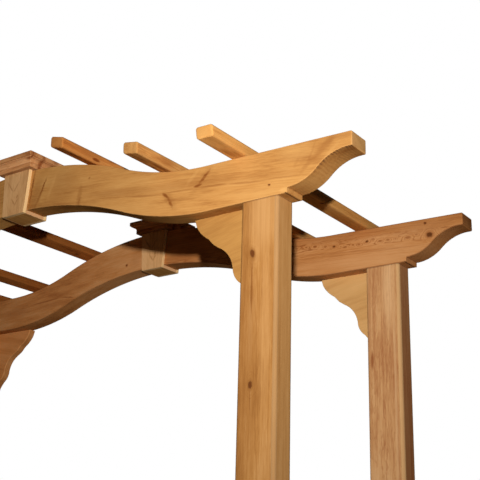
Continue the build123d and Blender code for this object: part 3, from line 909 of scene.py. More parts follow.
scroll_degrees = round(float(np.degrees(SCROLL_SWEEP)), 1)
print("the scroll turns", scroll_degrees, "degrees over a radius of", round(SCROLL_RADIUS, 3), "m")

# %% [markdown]
# One half of a beam runs from the middle of the arbor to the tip of a tail. The stations are close
# together beside the tooth, where the underside steps up and a dark line of painted shade runs just
# inside the step. The upper and lower faces are where the band saw went, so they count as sawn. A
# curve object with a bevel profile could only scale its section as a whole, and a Boolean would spoil
# the clean rows of quads.

# %% One half of an arched beam
BEAM_EASE, TIP_EASE = 0.003, 0.004
AROUND_TOOTH = (-0.0100, -0.0085, -0.0060, -0.0045, -0.0005, -0.00005, 0.00005, 0.0005, 0.0015, 0.004)
FRONT_Y, REAR_Y = -FACE, FACE - BEAM_THICKNESS


def beam_half(node_name, side, front_y, material, tree):
    """Section from beam_under(x) to beam_top(x), and from face to face, at every station x."""
    x = np.unique(np.concatenate([np.linspace(0, TAIL_TIP, 180), TOOTH + np.array(AROUND_TOOTH)]))
    x, shrink = eased_ends(x, 0.0, TIP_EASE)
    low_z, high_z = beam_under(x) + shrink, beam_top(x) - shrink
    section, on_edge = eased_rectangle(
        front_y + shrink, front_y + BEAM_THICKNESS - shrink, low_z, high_z, BEAM_EASE
    )
    along = np.broadcast_to(side * x[:, None], section.shape[:2])
    rings = np.stack([along, section[..., 0], section[..., 1]], -1)
    upper_or_lower = np.abs(section[..., 0] - front_y - BEAM_THICKNESS / 2) < BEAM_THICKNESS / 2 - 0.002
    ends = (shrink > 0.0005)[:, None]
    # A thin line under the beam, just inside the tooth, is painted shade.
    tooth_shade_line = (x > TOOTH - 0.009) & (x < TOOTH - 0.005)
    dirt = tooth_shade_line[:, None] & (section[..., 1] < low_z[:, None] + 0.002)
    dress(
        node_name, "beam_cedar", rings, tree, material,
        eased_edge=on_edge[None, :], cut_end=ends, sawn_curve=upper_or_lower & ~ends, joint_dirt=dirt,
    )


def beam_tree(side, front_y, slope):
    """The grain runs outwards along x, tipped by a slope, from a spot in the middle of the half."""
    axes = ((side, 0, 0), (0, 0, 1), (0, 1, 0))
    return tree_frame((side * 0.74, front_y + BEAM_THICKNESS / 2, SHOULDER), axes, slope)


print("beam tails reach x =", round(TAIL_TIP, 3), "m, and the tooth starts at", round(TOOTH, 3), "m")

# %% [markdown]
# The front right half is the one nearest to the camera. Its grain falls outwards by about seven
# degrees, and a soft brown seam runs with it through the whole length, with darker wood above it.
# Short brown strokes cross it where small branches were sawn lengthwise, and the tail ends in the
# curl of one. Every mark is a spot on the front face, in metres from the middle and above the post.

# %% Marks of the front right beam
seam = (
    (0.500, TOP + 0.138, -8.5, 0.090, 0.0045, 0.40),
    (0.651, TOP + 0.114, -9.1, 0.130, 0.0055, 0.50),
    (0.820, TOP + 0.096, -4.7, 0.120, 0.0050, 0.45),
    (0.960, TOP + 0.084, -6.7, 0.100, 0.0050, 0.55),
    (1.090, TOP + 0.068, -7.5, 0.110, 0.0045, 0.45),
    (1.240, TOP + 0.053, -5.5, 0.120, 0.0045, 0.40),
    (0.560, TOP + 0.146, -8.5, 0.240, 0.0220, 0.30),
    (0.900, TOP + 0.108, -6.0, 0.260, 0.0240, 0.30),
    (1.180, TOP + 0.074, -6.5, 0.190, 0.0180, 0.22),
)
strokes = (
    (0.140, TOP + 0.252, 68, 0.052, 0.0060, 0.85),
    (0.122, TOP + 0.214, 64, 0.065, 0.0110, 0.50),
    (0.098, TOP + 0.225, 72, 0.100, 0.0400, 0.30),
    (0.079, TOP + 0.260, 84, 0.120, 0.0080, 0.70),
    (0.763, TOP + 0.092, -36, 0.024, 0.0080, 1.00),
    (0.783, TOP + 0.066, -62, 0.040, 0.0090, 0.85),
    (0.780, TOP + 0.074, -55, 0.065, 0.0200, 0.32),
    (0.926, TOP + 0.121, 43, 0.044, 0.0085, 1.00),
    (0.903, TOP + 0.098, 5, 0.024, 0.0085, 0.90),
    (0.915, TOP + 0.112, 43, 0.070, 0.0200, 0.32),
    (0.344, TOP + 0.158, 81, 0.026, 0.0060, 0.60),
    (0.344, TOP + 0.172, 85, 0.060, 0.0160, 0.35),
    (0.389, TOP + 0.239, 0, 0.0070, 0.0070, 0.50),
    (0.250, TOP + 0.225, 76, 0.110, 0.0950, 0.22),
    (1.392, TOP + 0.124, 39, 0.075, 0.0170, 0.42),
    (1.325, TOP + 0.072, 44, 0.045, 0.0120, 0.28),
    (1.343, TOP + 0.110, 66, 0.045, 0.0060, 0.30),
    (1.292, TOP + 0.095, 60, 0.040, 0.0080, 0.18),
)
print("marks on the front right beam:", len(seam), "of the seam and", len(strokes), "of branches")

# %% [markdown]
# Blooms are the pale spots between those marks: above all the bright square of end grain over the
# tooth. Then the timber gets its own numbers. Rings show little on this face, clouds a lot.

# %% Front right beam
tree = beam_tree(1, FRONT_Y, -0.115)
knots = on_face(tree, FRONT_Y, (1.189, TOP + 0.039, 0, 0.0032, 0.0025))
blooms = on_face(
    tree, FRONT_Y,
    (1.244, TOP + 0.010, -4, 0.020, 0.0120, 1.00),
    (1.290, TOP + 0.125, -5, 0.090, 0.0350, 0.45),
    (1.415, TOP + 0.105, 39, 0.050, 0.0080, 0.35),
    (0.190, TOP + 0.250, 68, 0.060, 0.0110, 0.35),
    (0.880, TOP + 0.135, 43, 0.045, 0.0100, 0.30),
    (1.120, TOP + 0.025, -5, 0.130, 0.0200, 0.35),
    (0.600, TOP + 0.080, -7, 0.160, 0.0240, 0.25),
)
material = cedar(
    "cedar front right beam", "beam", knots, on_face(tree, FRONT_Y, *seam, *strokes), blooms, (-0.35, 0.30), 31,
    (0.68, 0.38, 0.15), taper=0.01, ring_width=0.0052, islands=0.006, figure=0.14, wear=0.10, ripple=0.40,
    chatter=0.85, streaks=0.34, clouds=0.8,
)
beam_half("beam_front_right", 1, FRONT_Y, material, tree)

# %% [markdown]
# The rear right half is redder. It has a round knot near the tip and, along the line where the saw
# ran level with the rings, a row of small eyes. Each eye is a dimple in the grown wood, so it pushes
# the rings aside, and their lines close round it as dark ovals. A painted oval would cross them.

# %% Rear right beam
tree = beam_tree(1, REAR_Y, -0.065)
EYES = (
    (0.770, 0.133, 7), (0.815, 0.130, 5), (0.856, 0.126, 8), (0.905, 0.119, 6), (0.944, 0.113, 9),
    (0.994, 0.102, 7), (1.028, 0.104, 5), (1.056, 0.102, 8), (1.091, 0.108, 9), (1.118, 0.112, 6),
    (1.148, 0.100, 10), (1.182, 0.100, 8), (1.215, 0.097, 5), (1.265, 0.093, 12), (1.300, 0.098, 7),
)
# The dark edge colour of the rear beams is partly wear and end grain, partly painted shade on their edges.
REAR_WEAR_AND_SHADE = (0.24, 0.085, 0.028)
knots = on_face(
    tree, REAR_Y,
    (1.353, TOP + 0.089, 0, 0.0095, 0.0085),
    (1.337, TOP + 0.137, 0, 0.0040, 0.0034),
    (0.944, TOP + 0.113, 0, 0.0042, 0.0030),
    (1.091, TOP + 0.108, 20, 0.0040, 0.0028),
)
eyes = on_face(tree, REAR_Y, *((x, TOP + z, -4, size * 0.0028, size * 0.0013, 0.0065) for x, z, size in EYES))
eye_rims = [(x, TOP + z, -4, size * 0.0012, size * 0.0006, 0.75) for x, z, size in EYES]
bands = (
    (1.000, TOP + 0.150, -3, 0.420, 0.0300, 0.32),
    (1.330, TOP + 0.125, -2, 0.160, 0.0330, 0.28),
    (0.950, TOP + 0.085, -5, 0.330, 0.0040, 0.30),
    (1.150, TOP + 0.062, -3, 0.260, 0.0035, 0.25),
    (0.480, TOP + 0.130, -9, 0.150, 0.0060, 0.40),
    # The last band is painted shade on the lower edge beside the keystone.
    (0.190, TOP + 0.190, -4, 0.160, 0.0500, 0.40),
)
blooms = on_face(
    tree, REAR_Y, (1.060, TOP + 0.036, -3, 0.400, 0.0360, 0.38), (1.330, TOP + 0.105, -3, 0.140, 0.0500, 0.20)
)
material = cedar(
    "cedar rear right beam", "russet", knots, on_face(tree, REAR_Y, *eye_rims, *bands), blooms,
    (-0.028, 0.030), 32, REAR_WEAR_AND_SHADE, eyes, taper=0.0, ring_width=0.0036, islands=0.008, figure=0.95,
    figure_reach=0.022, wear=0.6, ripple=0.35, drift=(0, -2.0, 0), streaks=0.40,
)
beam_half("beam_rear_right", 1, REAR_Y, material, tree)

# %% [markdown]
# Of the left halves the photograph shows the rear one from the keystone to its bracket: darker and
# redder than the right, with a tone boundary beside the keystone and a short seam further out. Its
# tone darkens along the grain towards the outer end, which is painted shade of the light falling
# off, and one number in the group does that for the whole timber.

# %% Rear left beam
tree = beam_tree(-1, REAR_Y, -0.08)
knots = on_face(tree, REAR_Y, (-0.170, TOP + 0.214, 0, 0.0034, 0.0030))
stains = on_face(
    tree, REAR_Y,
    (-0.168, TOP + 0.214, 80, 0.012, 0.0100, 0.50),
    (-0.110, TOP + 0.250, 86, 0.080, 0.0400, 0.18),
    (-0.705, TOP + 0.112, 4, 0.130, 0.0050, 0.60),
    (-0.545, TOP + 0.113, -8, 0.060, 0.0045, 0.60),
    (-0.640, TOP + 0.090, 3, 0.150, 0.0180, 0.28),
    (-0.900, TOP + 0.080, 3, 0.120, 0.0300, 0.25),
)
# The tilt darkens the beam outwards: painted shade.
material = cedar(
    "cedar rear left beam", "russet", knots, stains, [], (0.10, 0.26), 42, REAR_WEAR_AND_SHADE,
    taper=0.01, ring_width=0.005, figure=0.10, wear=0.35, drift=(-0.36, 0, 0), streaks=0.4, clouds=0.9,
)
beam_half("beam_rear_left", -1, REAR_Y, material, tree)

# %% [markdown]
# The front left half is outside the picture. It is the mirror image of the right one in shape, and
# has the same kind of wood with knots by chance.

# %% Front left beam
tree = beam_tree(-1, FRONT_Y, -0.08)
knots = wild_knots(41, 1.3, BEAM_HEIGHT, 4)
material = cedar(
    "cedar front left beam", "beam", knots, heart=(0.10, 0.26), seed=41,
    taper=0.01, ring_width=0.005, figure=0.25,
)
beam_half("beam_front_left", -1, FRONT_Y, material, tree)

# %% [markdown]
# The brackets are 35 mm boards in the corner between post and beam. The scalloped edge is a chain of
# arcs through measured points. A bracket is stacked from level sections: each runs from the scallop
# to the face of the post, so one list of heights and one list of widths describe it.

# %% Scalloped edge of the brackets
BRACKET_REACH, BRACKET_DROP, BRACKET_THICKNESS = 0.230, 0.305, 0.035


def arc_through(start, middle, end, steps=12):
    """Points on the circle through three points: its centre is equally far from all of them."""
    (ax, ay), (bx, by), (cx, cy) = start, middle, end
    rows = np.array([[bx - ax, by - ay], [cx - ax, cy - ay]])
    right = 0.5 * np.array([bx**2 - ax**2 + by**2 - ay**2, cx**2 - ax**2 + cy**2 - ay**2])
    centre = np.linalg.solve(rows, right)
    from_start, from_end = np.array(start) - centre, np.array(end) - centre
    first = np.arctan2(from_start[1], from_start[0])
    turn = np.arctan2(from_end[1], from_end[0]) - first
    turn = (turn + np.pi) % (2 * np.pi) - np.pi
    angles = first + turn * np.linspace(0, 1, steps)
    return centre + np.hypot(*from_start) * np.stack([np.cos(angles), np.sin(angles)], -1)


def scallop():
    """Reach from the post against drop below the beam, from the nose down to the toe."""
    scale = np.array([BRACKET_REACH, BRACKET_DROP])
    p = {
        key: np.array(value) * scale
        for key, value in {
            "heel": (1.0, 0.0), "nose": (0.965, 0.082), "lobe": (0.878, 0.170), "lobe_end": (0.743, 0.249),
            "dip": (0.648, 0.325), "knee": (0.583, 0.357), "knee_end": (0.509, 0.390),
            "bay": (0.365, 0.492), "bay_end": (0.291, 0.662), "calf": (0.248, 0.741),
            "calf_end": (0.161, 0.807), "ankle": (0.083, 0.882), "toe": (0.0, 1.0),
        }.items()
    }
    chain = [
        p["heel"][None],
        arc_through(p["nose"], p["lobe"], p["lobe_end"]),
        arc_through(p["dip"], p["knee"], p["knee_end"], 8),
        arc_through(p["knee_end"], p["bay"], p["bay_end"])[1:],
        arc_through(p["bay_end"], p["calf"], p["calf_end"], 8)[1:],
        arc_through(p["calf_end"], p["ankle"], p["toe"], 8)[1:],
    ]
    return np.concatenate(chain)


SCALLOP = scallop()
print("scallop points:", len(SCALLOP))

# %% [markdown]
# The toe of a bracket runs out to nothing on the post. A section without any width would have faces
# without any area, so the last one stops a hair above the toe and is half a millimetre wide. The
# grain slopes towards the post, and only the scalloped edge is sawn and worn.

# %% One bracket
TOE_WIDTH, TOE_SHORT = 0.0006, 0.0008


def bracket(node_name, side, front_y, material, tree):
    """Level section at every drop: from the scallop's reach to the face of the post."""
    drops = np.unique(np.concatenate([SCALLOP[:, 1], np.linspace(0.0, BRACKET_DROP, 70)]))[:-1]
    drops = np.append(drops, BRACKET_DROP - TOE_SHORT)
    reach = np.maximum(np.interp(drops, SCALLOP[:, 1], SCALLOP[:, 0]), TOE_WIDTH)
    inner = OPENING / 2
    section, on_edge = eased_rectangle(inner - reach, inner, front_y, front_y + BRACKET_THICKNESS, 0.003)
    heights = np.broadcast_to((POST_HEIGHT - drops)[:, None], section.shape[:2])
    rings = np.stack([side * section[..., 0], section[..., 1], heights], -1)
    near_scallop = section[..., 0] < (inner - reach)[:, None] + 0.004
    dress(
        node_name, "trim_cedar", rings, tree, material,
        eased_edge=on_edge[None, :] * near_scallop, sawn_curve=near_scallop * 0.6,
    )


print("brackets hang", BRACKET_DROP, "m down the post and reach", BRACKET_REACH, "m along the beam")

# %% [markdown]
# The four brackets were cut from different boards: yellow on the front frame, straw and ginger on
# the rear one. Front brackets are flush with the rear face of their posts, and so are rear ones.

# %% All four brackets
for seed, (node_name, side, front_y, tones) in enumerate(
    (
        ("bracket_front_right", 1, FRONT_Y + POST_DEPTH - BRACKET_THICKNESS, "gold"),
        ("bracket_front_left", -1, FRONT_Y + POST_DEPTH - BRACKET_THICKNESS, "gold"),
        ("bracket_rear_right", 1, FACE - BRACKET_THICKNESS, "straw"),
        ("bracket_rear_left", -1, FACE - BRACKET_THICKNESS, "ginger"),
    ),
    51,
):
    tree = tree_frame((side * 0.97, front_y, POST_HEIGHT - 0.1), ALONG_X, 0.20 * side)
    worn_and_painted_light = tuple(1.12 * channel for channel in TONES[tones][0])
    material = cedar(
        with_blanks(node_name), tones, heart=(0.25, 0.20), seed=seed, worn_and_painted_light=worn_and_painted_light,
        taper=0.02, ring_width=0.0060, figure=0.04, wear=0.3, clouds=0.8, ripple=0.12, streaks=0.30,
    )
    bracket(node_name, side, front_y, material, tree)

# %% [markdown]
# The keystone is a tapered plate on each face of the beam and a sole board between them. The plates
# are short flat-sawn boards with the grain upright, so their faces carry pointed arches. The rings
# make arches by themselves, and a few soft stains draw the two that stand out in the photograph.

# %% Keystone plates
KEY_TOP, KEY_FOOT, KEY_THICKNESS, SOLE = 0.144, 0.120, 0.016, 0.015
KEY_LOW = CREST - BEAM_HEIGHT - SOLE


def keystone(node_name, low_y, material, tree):
    """Rectangle at every level, whose width grows evenly from foot to top."""
    levels = np.linspace(KEY_LOW + 0.01, CREST - 0.01, 10)
    levels = np.concatenate([[KEY_LOW, KEY_LOW + 0.0045], levels, [CREST - 0.0045, CREST]])
    heights, shrink = eased_ends(levels, 0.002, 0.0015)
    share = (heights - KEY_LOW) / (CREST - KEY_LOW)
    half = (KEY_FOOT + (KEY_TOP - KEY_FOOT) * share) / 2 - shrink
    section, on_edge = eased_rectangle(-half, half, low_y + shrink, low_y + KEY_THICKNESS - shrink, 0.002)
    up = np.broadcast_to(heights[:, None], section.shape[:2])
    rings = np.stack([section[..., 0], section[..., 1], up], -1)
    ends = (shrink > 0.0003)[:, None]
    # Both sides of a plate take the pale edge colour: a painted highlight, as on a side that faces the lamp.
    sides = np.abs(section[..., 0]) > half[:, None] - 0.0005
    # Both ends of a plate are darkened a little: grime and painted shade in the joints.
    dirt = np.clip(np.abs(heights - (KEY_LOW + CREST) / 2) - (CREST - KEY_LOW) / 2 + 0.004, 0, 0.004) / 0.004
    dress(
        node_name, "trim_cedar", rings, tree, material,
        eased_edge=sides, cut_end=ends, joint_dirt=dirt[:, None] * 0.3,
    )


print("keystone plates are", round(CREST - KEY_LOW, 3), "m high and taper from", KEY_TOP, "to", KEY_FOOT, "m")

# %% [markdown]
# All four plates come from one board, so each has the same two arches in its figure, and the seed
# alone changes the fine grain.

# %% All four keystone plates
for seed, (node_name, low_y) in enumerate(
    (
        ("keystone_front_outer", FRONT_Y - KEY_THICKNESS),
        ("keystone_front_inner", FRONT_Y + BEAM_THICKNESS),
        ("keystone_rear_inner", REAR_Y - KEY_THICKNESS),
        ("keystone_rear_outer", FACE),
    ),
    61,
):
    tree = tree_frame((0.0, low_y, KEY_LOW), ALONG_Z)
    figure_lines = on_face(
        tree, low_y,
        (-0.030, TOP + 0.289, -50, 0.036, 0.0050, 0.50),
        (0.006, TOP + 0.283, 52, 0.030, 0.0050, 0.45),
        (-0.004, TOP + 0.219, -51, 0.024, 0.0050, 0.50),
        (0.013, TOP + 0.217, 58, 0.022, 0.0050, 0.50),
        (0.016, TOP + 0.238, 60, 0.014, 0.0060, 0.55),
    )
    # The pale edge colour here is mostly a painted highlight on the plates' sides.
    material = cedar(
        with_blanks(node_name), "sand", [], figure_lines, [], (0.002, 0.055), seed, (0.88, 0.58, 0.27),
        taper=-0.30, ring_width=0.010, islands=0.004, figure=0.16, wear=0.95, streaks=0.6,
    )
    keystone(node_name, low_y, material, tree)

# %% [markdown]
# The sole closes the keystone from below. Its top follows the underside of the arch a fiftieth of a
# millimetre under it, so that the two faces don't lie in one another and flicker.

# %% Soles
def sole(node_name, low_y, material, tree):
    """A board from plate to plate; its top follows the underside of the arch."""
    half_length = KEY_FOOT / 2
    x = np.linspace(-half_length, half_length, 17)
    top = POST_HEIGHT + arch(np.abs(x)) - 0.00002
    section, on_edge = eased_rectangle(low_y, low_y + BEAM_THICKNESS, KEY_LOW, top, 0.0006)
    along = np.broadcast_to(x[:, None], section.shape[:2])
    rings = np.stack([along, section[..., 0], section[..., 1]], -1)
    sides = np.abs(along) > half_length - 0.001
    dress(node_name, "trim_cedar", rings, tree, material, eased_edge=sides)


for seed, (node_name, low_y) in enumerate((("sole_front", FRONT_Y), ("sole_rear", REAR_Y)), 71):
    tree = tree_frame((0.0, low_y, KEY_LOW), ALONG_Y)
    material = cedar(
        with_blanks(node_name), "beam", heart=(0.05, 0.09), seed=seed, worn_and_painted_light=(0.70, 0.40, 0.20),
        ring_width=0.005, figure=0.30, wear=0.7,
    )
    sole(node_name, low_y, material, tree)

# %% [markdown]
# The cap is three layers: a base board, a cove moulding mitred round it, and a wider board on top.
# All three are square loops around an upright axis, so one function makes them: a profile of
# overhang against height, where every point of the profile is a rectangle seen from above.

# %% Square layers
CAP_BOARD, COVE_HEIGHT, COVE_REACH = 0.018, 0.018, 0.018
BASE_LENGTH, BASE_DEPTH, TOP_LENGTH, TOP_DEPTH = 0.184, 0.155, 0.230, 0.201
CAP_Y = FACE - BEAM_THICKNESS / 2


def square_stack(node_name, centre_y, length, depth, overhang, heights, material, dirt=0.12):
    """Ring s is the rectangle of length and depth, grown on all sides by overhang s."""
    half_x, half_y = length / 2 + overhang, depth / 2 + overhang
    section, on_edge = eased_rectangle(-half_x, half_x, centre_y - half_y, centre_y + half_y, 0.0015)
    up = np.broadcast_to(heights[:, None], section.shape[:2])
    rings = np.stack([section[..., 0], section[..., 1], up], -1)
    tree = tree_frame((0.0, centre_y, heights[0]), ALONG_X)
    # The foot of each layer is darkened: grime and painted shade in the joint.
    foot = np.clip(1 - (heights - heights[0]) / 0.002, 0, 1)[:, None]
    dress(node_name, "trim_cedar", rings, tree, material, eased_edge=on_edge[None, :], joint_dirt=dirt * foot)


print("caps measure", TOP_LENGTH, "by", TOP_DEPTH, "m over the top board")

# %% [markdown]
# The boards only have their arrises taken off. The cove is a bought moulding: a small lip under the
# top board, and a quarter-round hollow that runs down to the base board.

# %% Profiles of the layers
def board_profile(low, thickness, ease):
    """Overhang of a board's edge: a quarter circle at the foot and another at the top."""
    turn = np.linspace(0, np.pi / 2, 5)
    foot = np.append(low + ease * (1 - np.cos(turn)), low + ease + 0.001)
    foot_in = np.append(-ease * (1 - np.sin(turn)), 0.0)
    heights = np.concatenate([foot, low + thickness - (foot - low)[::-1]])
    return heights, np.concatenate([foot_in, foot_in[::-1]])


def cove_profile(low):
    """A small lip at the top, then a quarter-round hollow that runs down to the base board."""
    turn = np.linspace(0, np.pi / 2, 12)
    lip, arris = 0.003, 0.0006
    heights = low + (COVE_HEIGHT - lip) * np.sin(turn)
    heights = np.append(heights, [low + COVE_HEIGHT - arris, low + COVE_HEIGHT])
    return heights, np.append(COVE_REACH * (1 - np.cos(turn)), [COVE_REACH, COVE_REACH - arris])


print("stations of the cove:", len(cove_profile(0)[0]))

# %% [markdown]
# On the front cap's right face three dark patches show, and they run through all the layers. They
# are stains with a small depth, in the coordinates of the cap: to the right, up, and back.

# %% Caps on the keystones
RIGHT_FACE_STAINS = [
    ((0.100, 0.012, -0.086), 0.0, 0.030, 0.040, 0.90, 0.008),
    ((0.100, 0.006, -0.030), 0.0, 0.030, 0.022, 1.00, 0.014),
    ((0.100, 0.010, 0.032), 0.0, 0.030, 0.016, 0.80, 0.026),
    ((0.100, 0.012, 0.000), 0.0, 0.030, 0.060, 0.20, 0.100),
]
for seed, (word, centre_y) in enumerate((("front", -CAP_Y), ("rear", CAP_Y)), 81):
    look = dict(stains=RIGHT_FACE_STAINS, taper=0.03, ring_width=0.0045, figure=0.30)
    look.update(clouds=1.2, streaks=0.9, wear=0.3)
    heights, inset = board_profile(CREST, CAP_BOARD, 0.0018)
    knots = wild_knots(seed, 0.1, 0.1, 1, (0.003, 0.005))
    material = cedar("cedar cap base " + word, "clay", knots, heart=(0.05, 0.08), seed=seed, **look)
    square_stack("cap_base_" + word, centre_y, BASE_LENGTH, BASE_DEPTH, inset, heights, material, 0.5)
    heights, reach = cove_profile(CREST + CAP_BOARD)
    material = cedar("cedar cap cove " + word, "clay", heart=(0.10, 0.05), seed=seed + 2, **look)
    square_stack("cap_cove_" + word, centre_y, BASE_LENGTH, BASE_DEPTH, reach, heights, material)
    heights, inset = board_profile(CREST + CAP_BOARD + COVE_HEIGHT, CAP_BOARD, 0.0022)
    knots = wild_knots(seed + 5, 0.2, 0.2, 1, (0.004, 0.006))
    material = cedar("cedar cap board " + word, "clay", knots, heart=(0.02, 0.10), seed=seed + 4, **look)
    square_stack("cap_board_" + word, centre_y, TOP_LENGTH, TOP_DEPTH, inset, heights, material)
print("top of the caps at", round(CREST + 2 * CAP_BOARD + COVE_HEIGHT, 3), "m")

# %% [markdown]
# The purlins lie flat on the beams and tip with them. Each is one section carried from front to
# back, turned about the middle of its underside. The end stations lean, because the ends are cut
# at a slight rake that leaves the upper edge standing out.

# %% One purlin
PURLIN_WIDTH, PURLIN_THICKNESS, OVERHANG, RAKE = 0.066, 0.038, 0.190, 0.010
END_EASE, SIDE_EASE = 0.006, 0.008
TAIL_SLOPE = TAIL_FALL / (TAIL_TIP - ARCH_END)


def purlin(node_name, side, x, seat, tip, material, tree):
    """Section across the purlin, tipped about the middle of its underside, at every station y."""
    reach = FACE + OVERHANG
    y, shrink = eased_ends(np.linspace(-reach, reach, 60), END_EASE, END_EASE)
    half = PURLIN_WIDTH / 2 - shrink
    section, on_edge = eased_rectangle(-half, half, shrink, PURLIN_THICKNESS - shrink, SIDE_EASE)
    u, v = section[..., 0], section[..., 1]
    share = np.abs(y / reach)[:, None] ** 24
    along = y[:, None] - np.sign(y)[:, None] * share * RAKE * (1 - v / PURLIN_THICKNESS)
    across = side * (x + u * cos(tip) + v * sin(tip))
    rings = np.stack([across, along, seat - u * sin(tip) + v * cos(tip)], -1)
    ends = (shrink > 0.0005)[:, None]
    dress(node_name, "purlin_cedar", rings, tree, material, eased_edge=on_edge[None, :], cut_end=ends)


def purlin_seat(word, x):
    """Tangent to the crest, a chord of the hollow, or flat on the shoulder: height and tip."""
    here, near, far = beam_top(x + np.array([0, -0.5, 0.5]) * PURLIN_WIDTH)
    if word == "inner":
        return float(here), float(np.arcsin(x / CREST_RADIUS))
    if word == "middle":
        return float(near + far) / 2, atan((near - far) / PURLIN_WIDTH)
    return float(here), atan(TAIL_SLOPE)


print("purlins are", round(2 * (FACE + OVERHANG), 2), "m long and overhang each frame by", OVERHANG, "m")

# %% [markdown]
# The right-hand purlins lie in the lamp light and go from pale to rusty towards the middle, and the
# left-hand ones are dusky. Their stains are placed in the purlin's own coordinates: along it from
# the middle, across it, and up from its middle, so UNDER is the underside and SIDE the outer edge.

# %% Tones and stains of the purlins
PURLIN_TONES = {
    "purlin_outer_right": "oat", "purlin_middle_right": "maize", "purlin_inner_right": "rust",
    "purlin_inner_left": "dusk", "purlin_middle_left": "dusk", "purlin_outer_left": "dusk",
}
UNDER, SIDE = -PURLIN_THICKNESS / 2, PURLIN_WIDTH / 2
PURLIN_STAINS = {
    "purlin_outer_right": [
        ((-0.500, -0.006, UNDER), 0.1, 0.050, 0.016, 0.80),
        ((-0.475, 0.012, UNDER), 0.0, 0.040, 0.010, 0.55),
        ((-0.540, -0.020, UNDER), 0.0, 0.060, 0.010, 0.35),
        ((0.330, 0.000, UNDER), 0.0, 0.380, 0.040, 0.45),
    ],
    "purlin_middle_right": [
        ((-0.490, SIDE, 0.000), 0.0, 0.060, 0.020, 0.60),
        ((-0.580, 0.000, UNDER), 0.0, 0.050, 0.014, 0.50),
        ((-0.500, 0.010, UNDER), 0.0, 0.060, 0.012, 0.60),
    ],
    "purlin_inner_right": [
        ((-0.395, SIDE, 0.009), 0.0, 0.036, 0.030, 1.00, 0.012),
        ((-0.470, SIDE, -0.014), 0.0, 0.026, 0.030, 1.00, 0.009),
        ((-0.440, 0.010, UNDER), 0.0, 0.060, 0.026, 0.60),
        ((-0.510, SIDE, 0.004), 0.0, 0.100, 0.020, 0.60),
        ((-0.560, 0.010, UNDER), 0.0, 0.040, 0.014, 0.75),
    ],
}
print("stains on the purlins:", {name: len(stains) for name, stains in PURLIN_STAINS.items()})

# %% [markdown]
# The purlins stand in three pairs. On the real arbor nobody measured to the millimetre: the whole
# row sits a little to the left of the middle, as the lines of the photograph showed.

# %% All six purlins
INNER_X, MIDDLE_X, OUTER_X = 0.404, 0.763, 1.075
SHIFT_LEFT = 0.008

for seed, (word, from_middle) in enumerate((("inner", INNER_X), ("middle", MIDDLE_X), ("outer", OUTER_X)), 91):
    for side, hand in ((1, "right"), (-1, "left")):
        x = from_middle - side * SHIFT_LEFT
        seat, tip = purlin_seat(word, x)
        tree = tree_frame((side * x, 0.0, seat + PURLIN_THICKNESS / 2), ALONG_Y)
        name = f"purlin_{word}_{hand}"
        knots = wild_knots(seed * 3 + side, 1.25, PURLIN_WIDTH, 5, (0.004, 0.007))
        stains = PURLIN_STAINS.get(name, ())
        worn_and_painted_light = tuple(0.74 * channel for channel in TONES[PURLIN_TONES[name]][0])
        material = cedar(
            with_blanks(name), PURLIN_TONES[name], knots, stains, heart=(0.05, -0.09), seed=seed * 2 + side,
            worn_and_painted_light=worn_and_painted_light, taper=0.015, ring_width=0.0042, figure=0.30, wear=0.45, clouds=1.0, streaks=0.9,
        )
        purlin(name, side, x, seat, tip, material, tree)
        print(word, hand, "purlin at", round(x, 3), "m, tipped", round(float(np.degrees(tip)), 1), "degrees")

# %% [markdown]
# The floor is one pale sheet at ground level. A sheet that is only a few metres wide would end
# inside the picture from some sides, so it is large. To the light that bounces off it, it is much
# duller, so that the undersides of the beams stay as dark as in the photograph. Seen directly it
# glows a little, so that it looks pale from every side and still shows the shadows.

# %% Floor
FLOOR_HALF = 40.0
FLOOR_SEEN, FLOOR_BOUNCE, FLOOR_GLOW = (0.80, 0.79, 0.77, 1), (0.190, 0.172, 0.145, 1), 0.45


def seen_directly(tree):
    """1 for rays from the camera, from a reflection or through glass; 0 for light on a surface."""
    path = node(tree, "LightPath")
    seen = maths(tree, "MAXIMUM", path.outputs["Is Camera Ray"], path.outputs["Is Transmission Ray"])
    return maths(tree, "MAXIMUM", seen, path.outputs["Is Glossy Ray"])


def pale_floor():
    """One square; its colour is a blend of the bounce colour and the seen one by kind of ray."""
    mesh = bpy.data.meshes.new("studio_floor")
    corners = FLOOR_HALF * np.array([[-1, -1, 0], [1, -1, 0], [1, 1, 0], [-1, 1, 0]], float)
    mesh.from_pydata(corners.tolist(), [], [(0, 1, 2, 3)])
    floor = bpy.data.objects.new("studio_floor", mesh)
    bpy.context.scene.collection.objects.link(floor)
    material = bpy.data.materials.new("pale floor")
    material.use_nodes = True
    tree = material.node_tree
    shader = tree.nodes["Principled BSDF"]
    seen = seen_directly(tree)
    feed(tree, shader.inputs["Base Color"], blend(tree, seen, FLOOR_BOUNCE, FLOOR_SEEN))
    shader.inputs["Emission Color"].default_value = FLOOR_SEEN
    feed(tree, shader.inputs["Emission Strength"], maths(tree, "MULTIPLY", seen, FLOOR_GLOW))
    shader.inputs["Roughness"].default_value = 0.9
    shader.inputs["Specular IOR Level"].default_value = 0.1
    mesh.materials.append(material)
    print("floor:", 2 * FLOOR_HALF, "m square")


pale_floor()

# %% [markdown]
# The background is white to the camera and to reflections. For the light that falls on the wood it
# is nearly dark, so that the shadows stay deep. Light Path tells the two kinds of ray apart.

# %% World
WORLD_ON_WOOD = 0.012


def studio_world():
    """Strength 1 where it is seen directly, and the dim value elsewhere."""
    world = bpy.data.worlds.new("studio")
    world.use_nodes = True
    tree = world.node_tree
    back = tree.nodes["Background"]
    back.inputs["Color"].default_value = (1, 1, 1, 1)
    strength = maths(tree, "MULTIPLY_ADD", seen_directly(tree), 1 - WORLD_ON_WOOD, WORLD_ON_WOOD)
    feed(tree, back.inputs["Strength"], strength)
    bpy.context.scene.world = world
    print("world light on the wood:", WORLD_ON_WOOD)


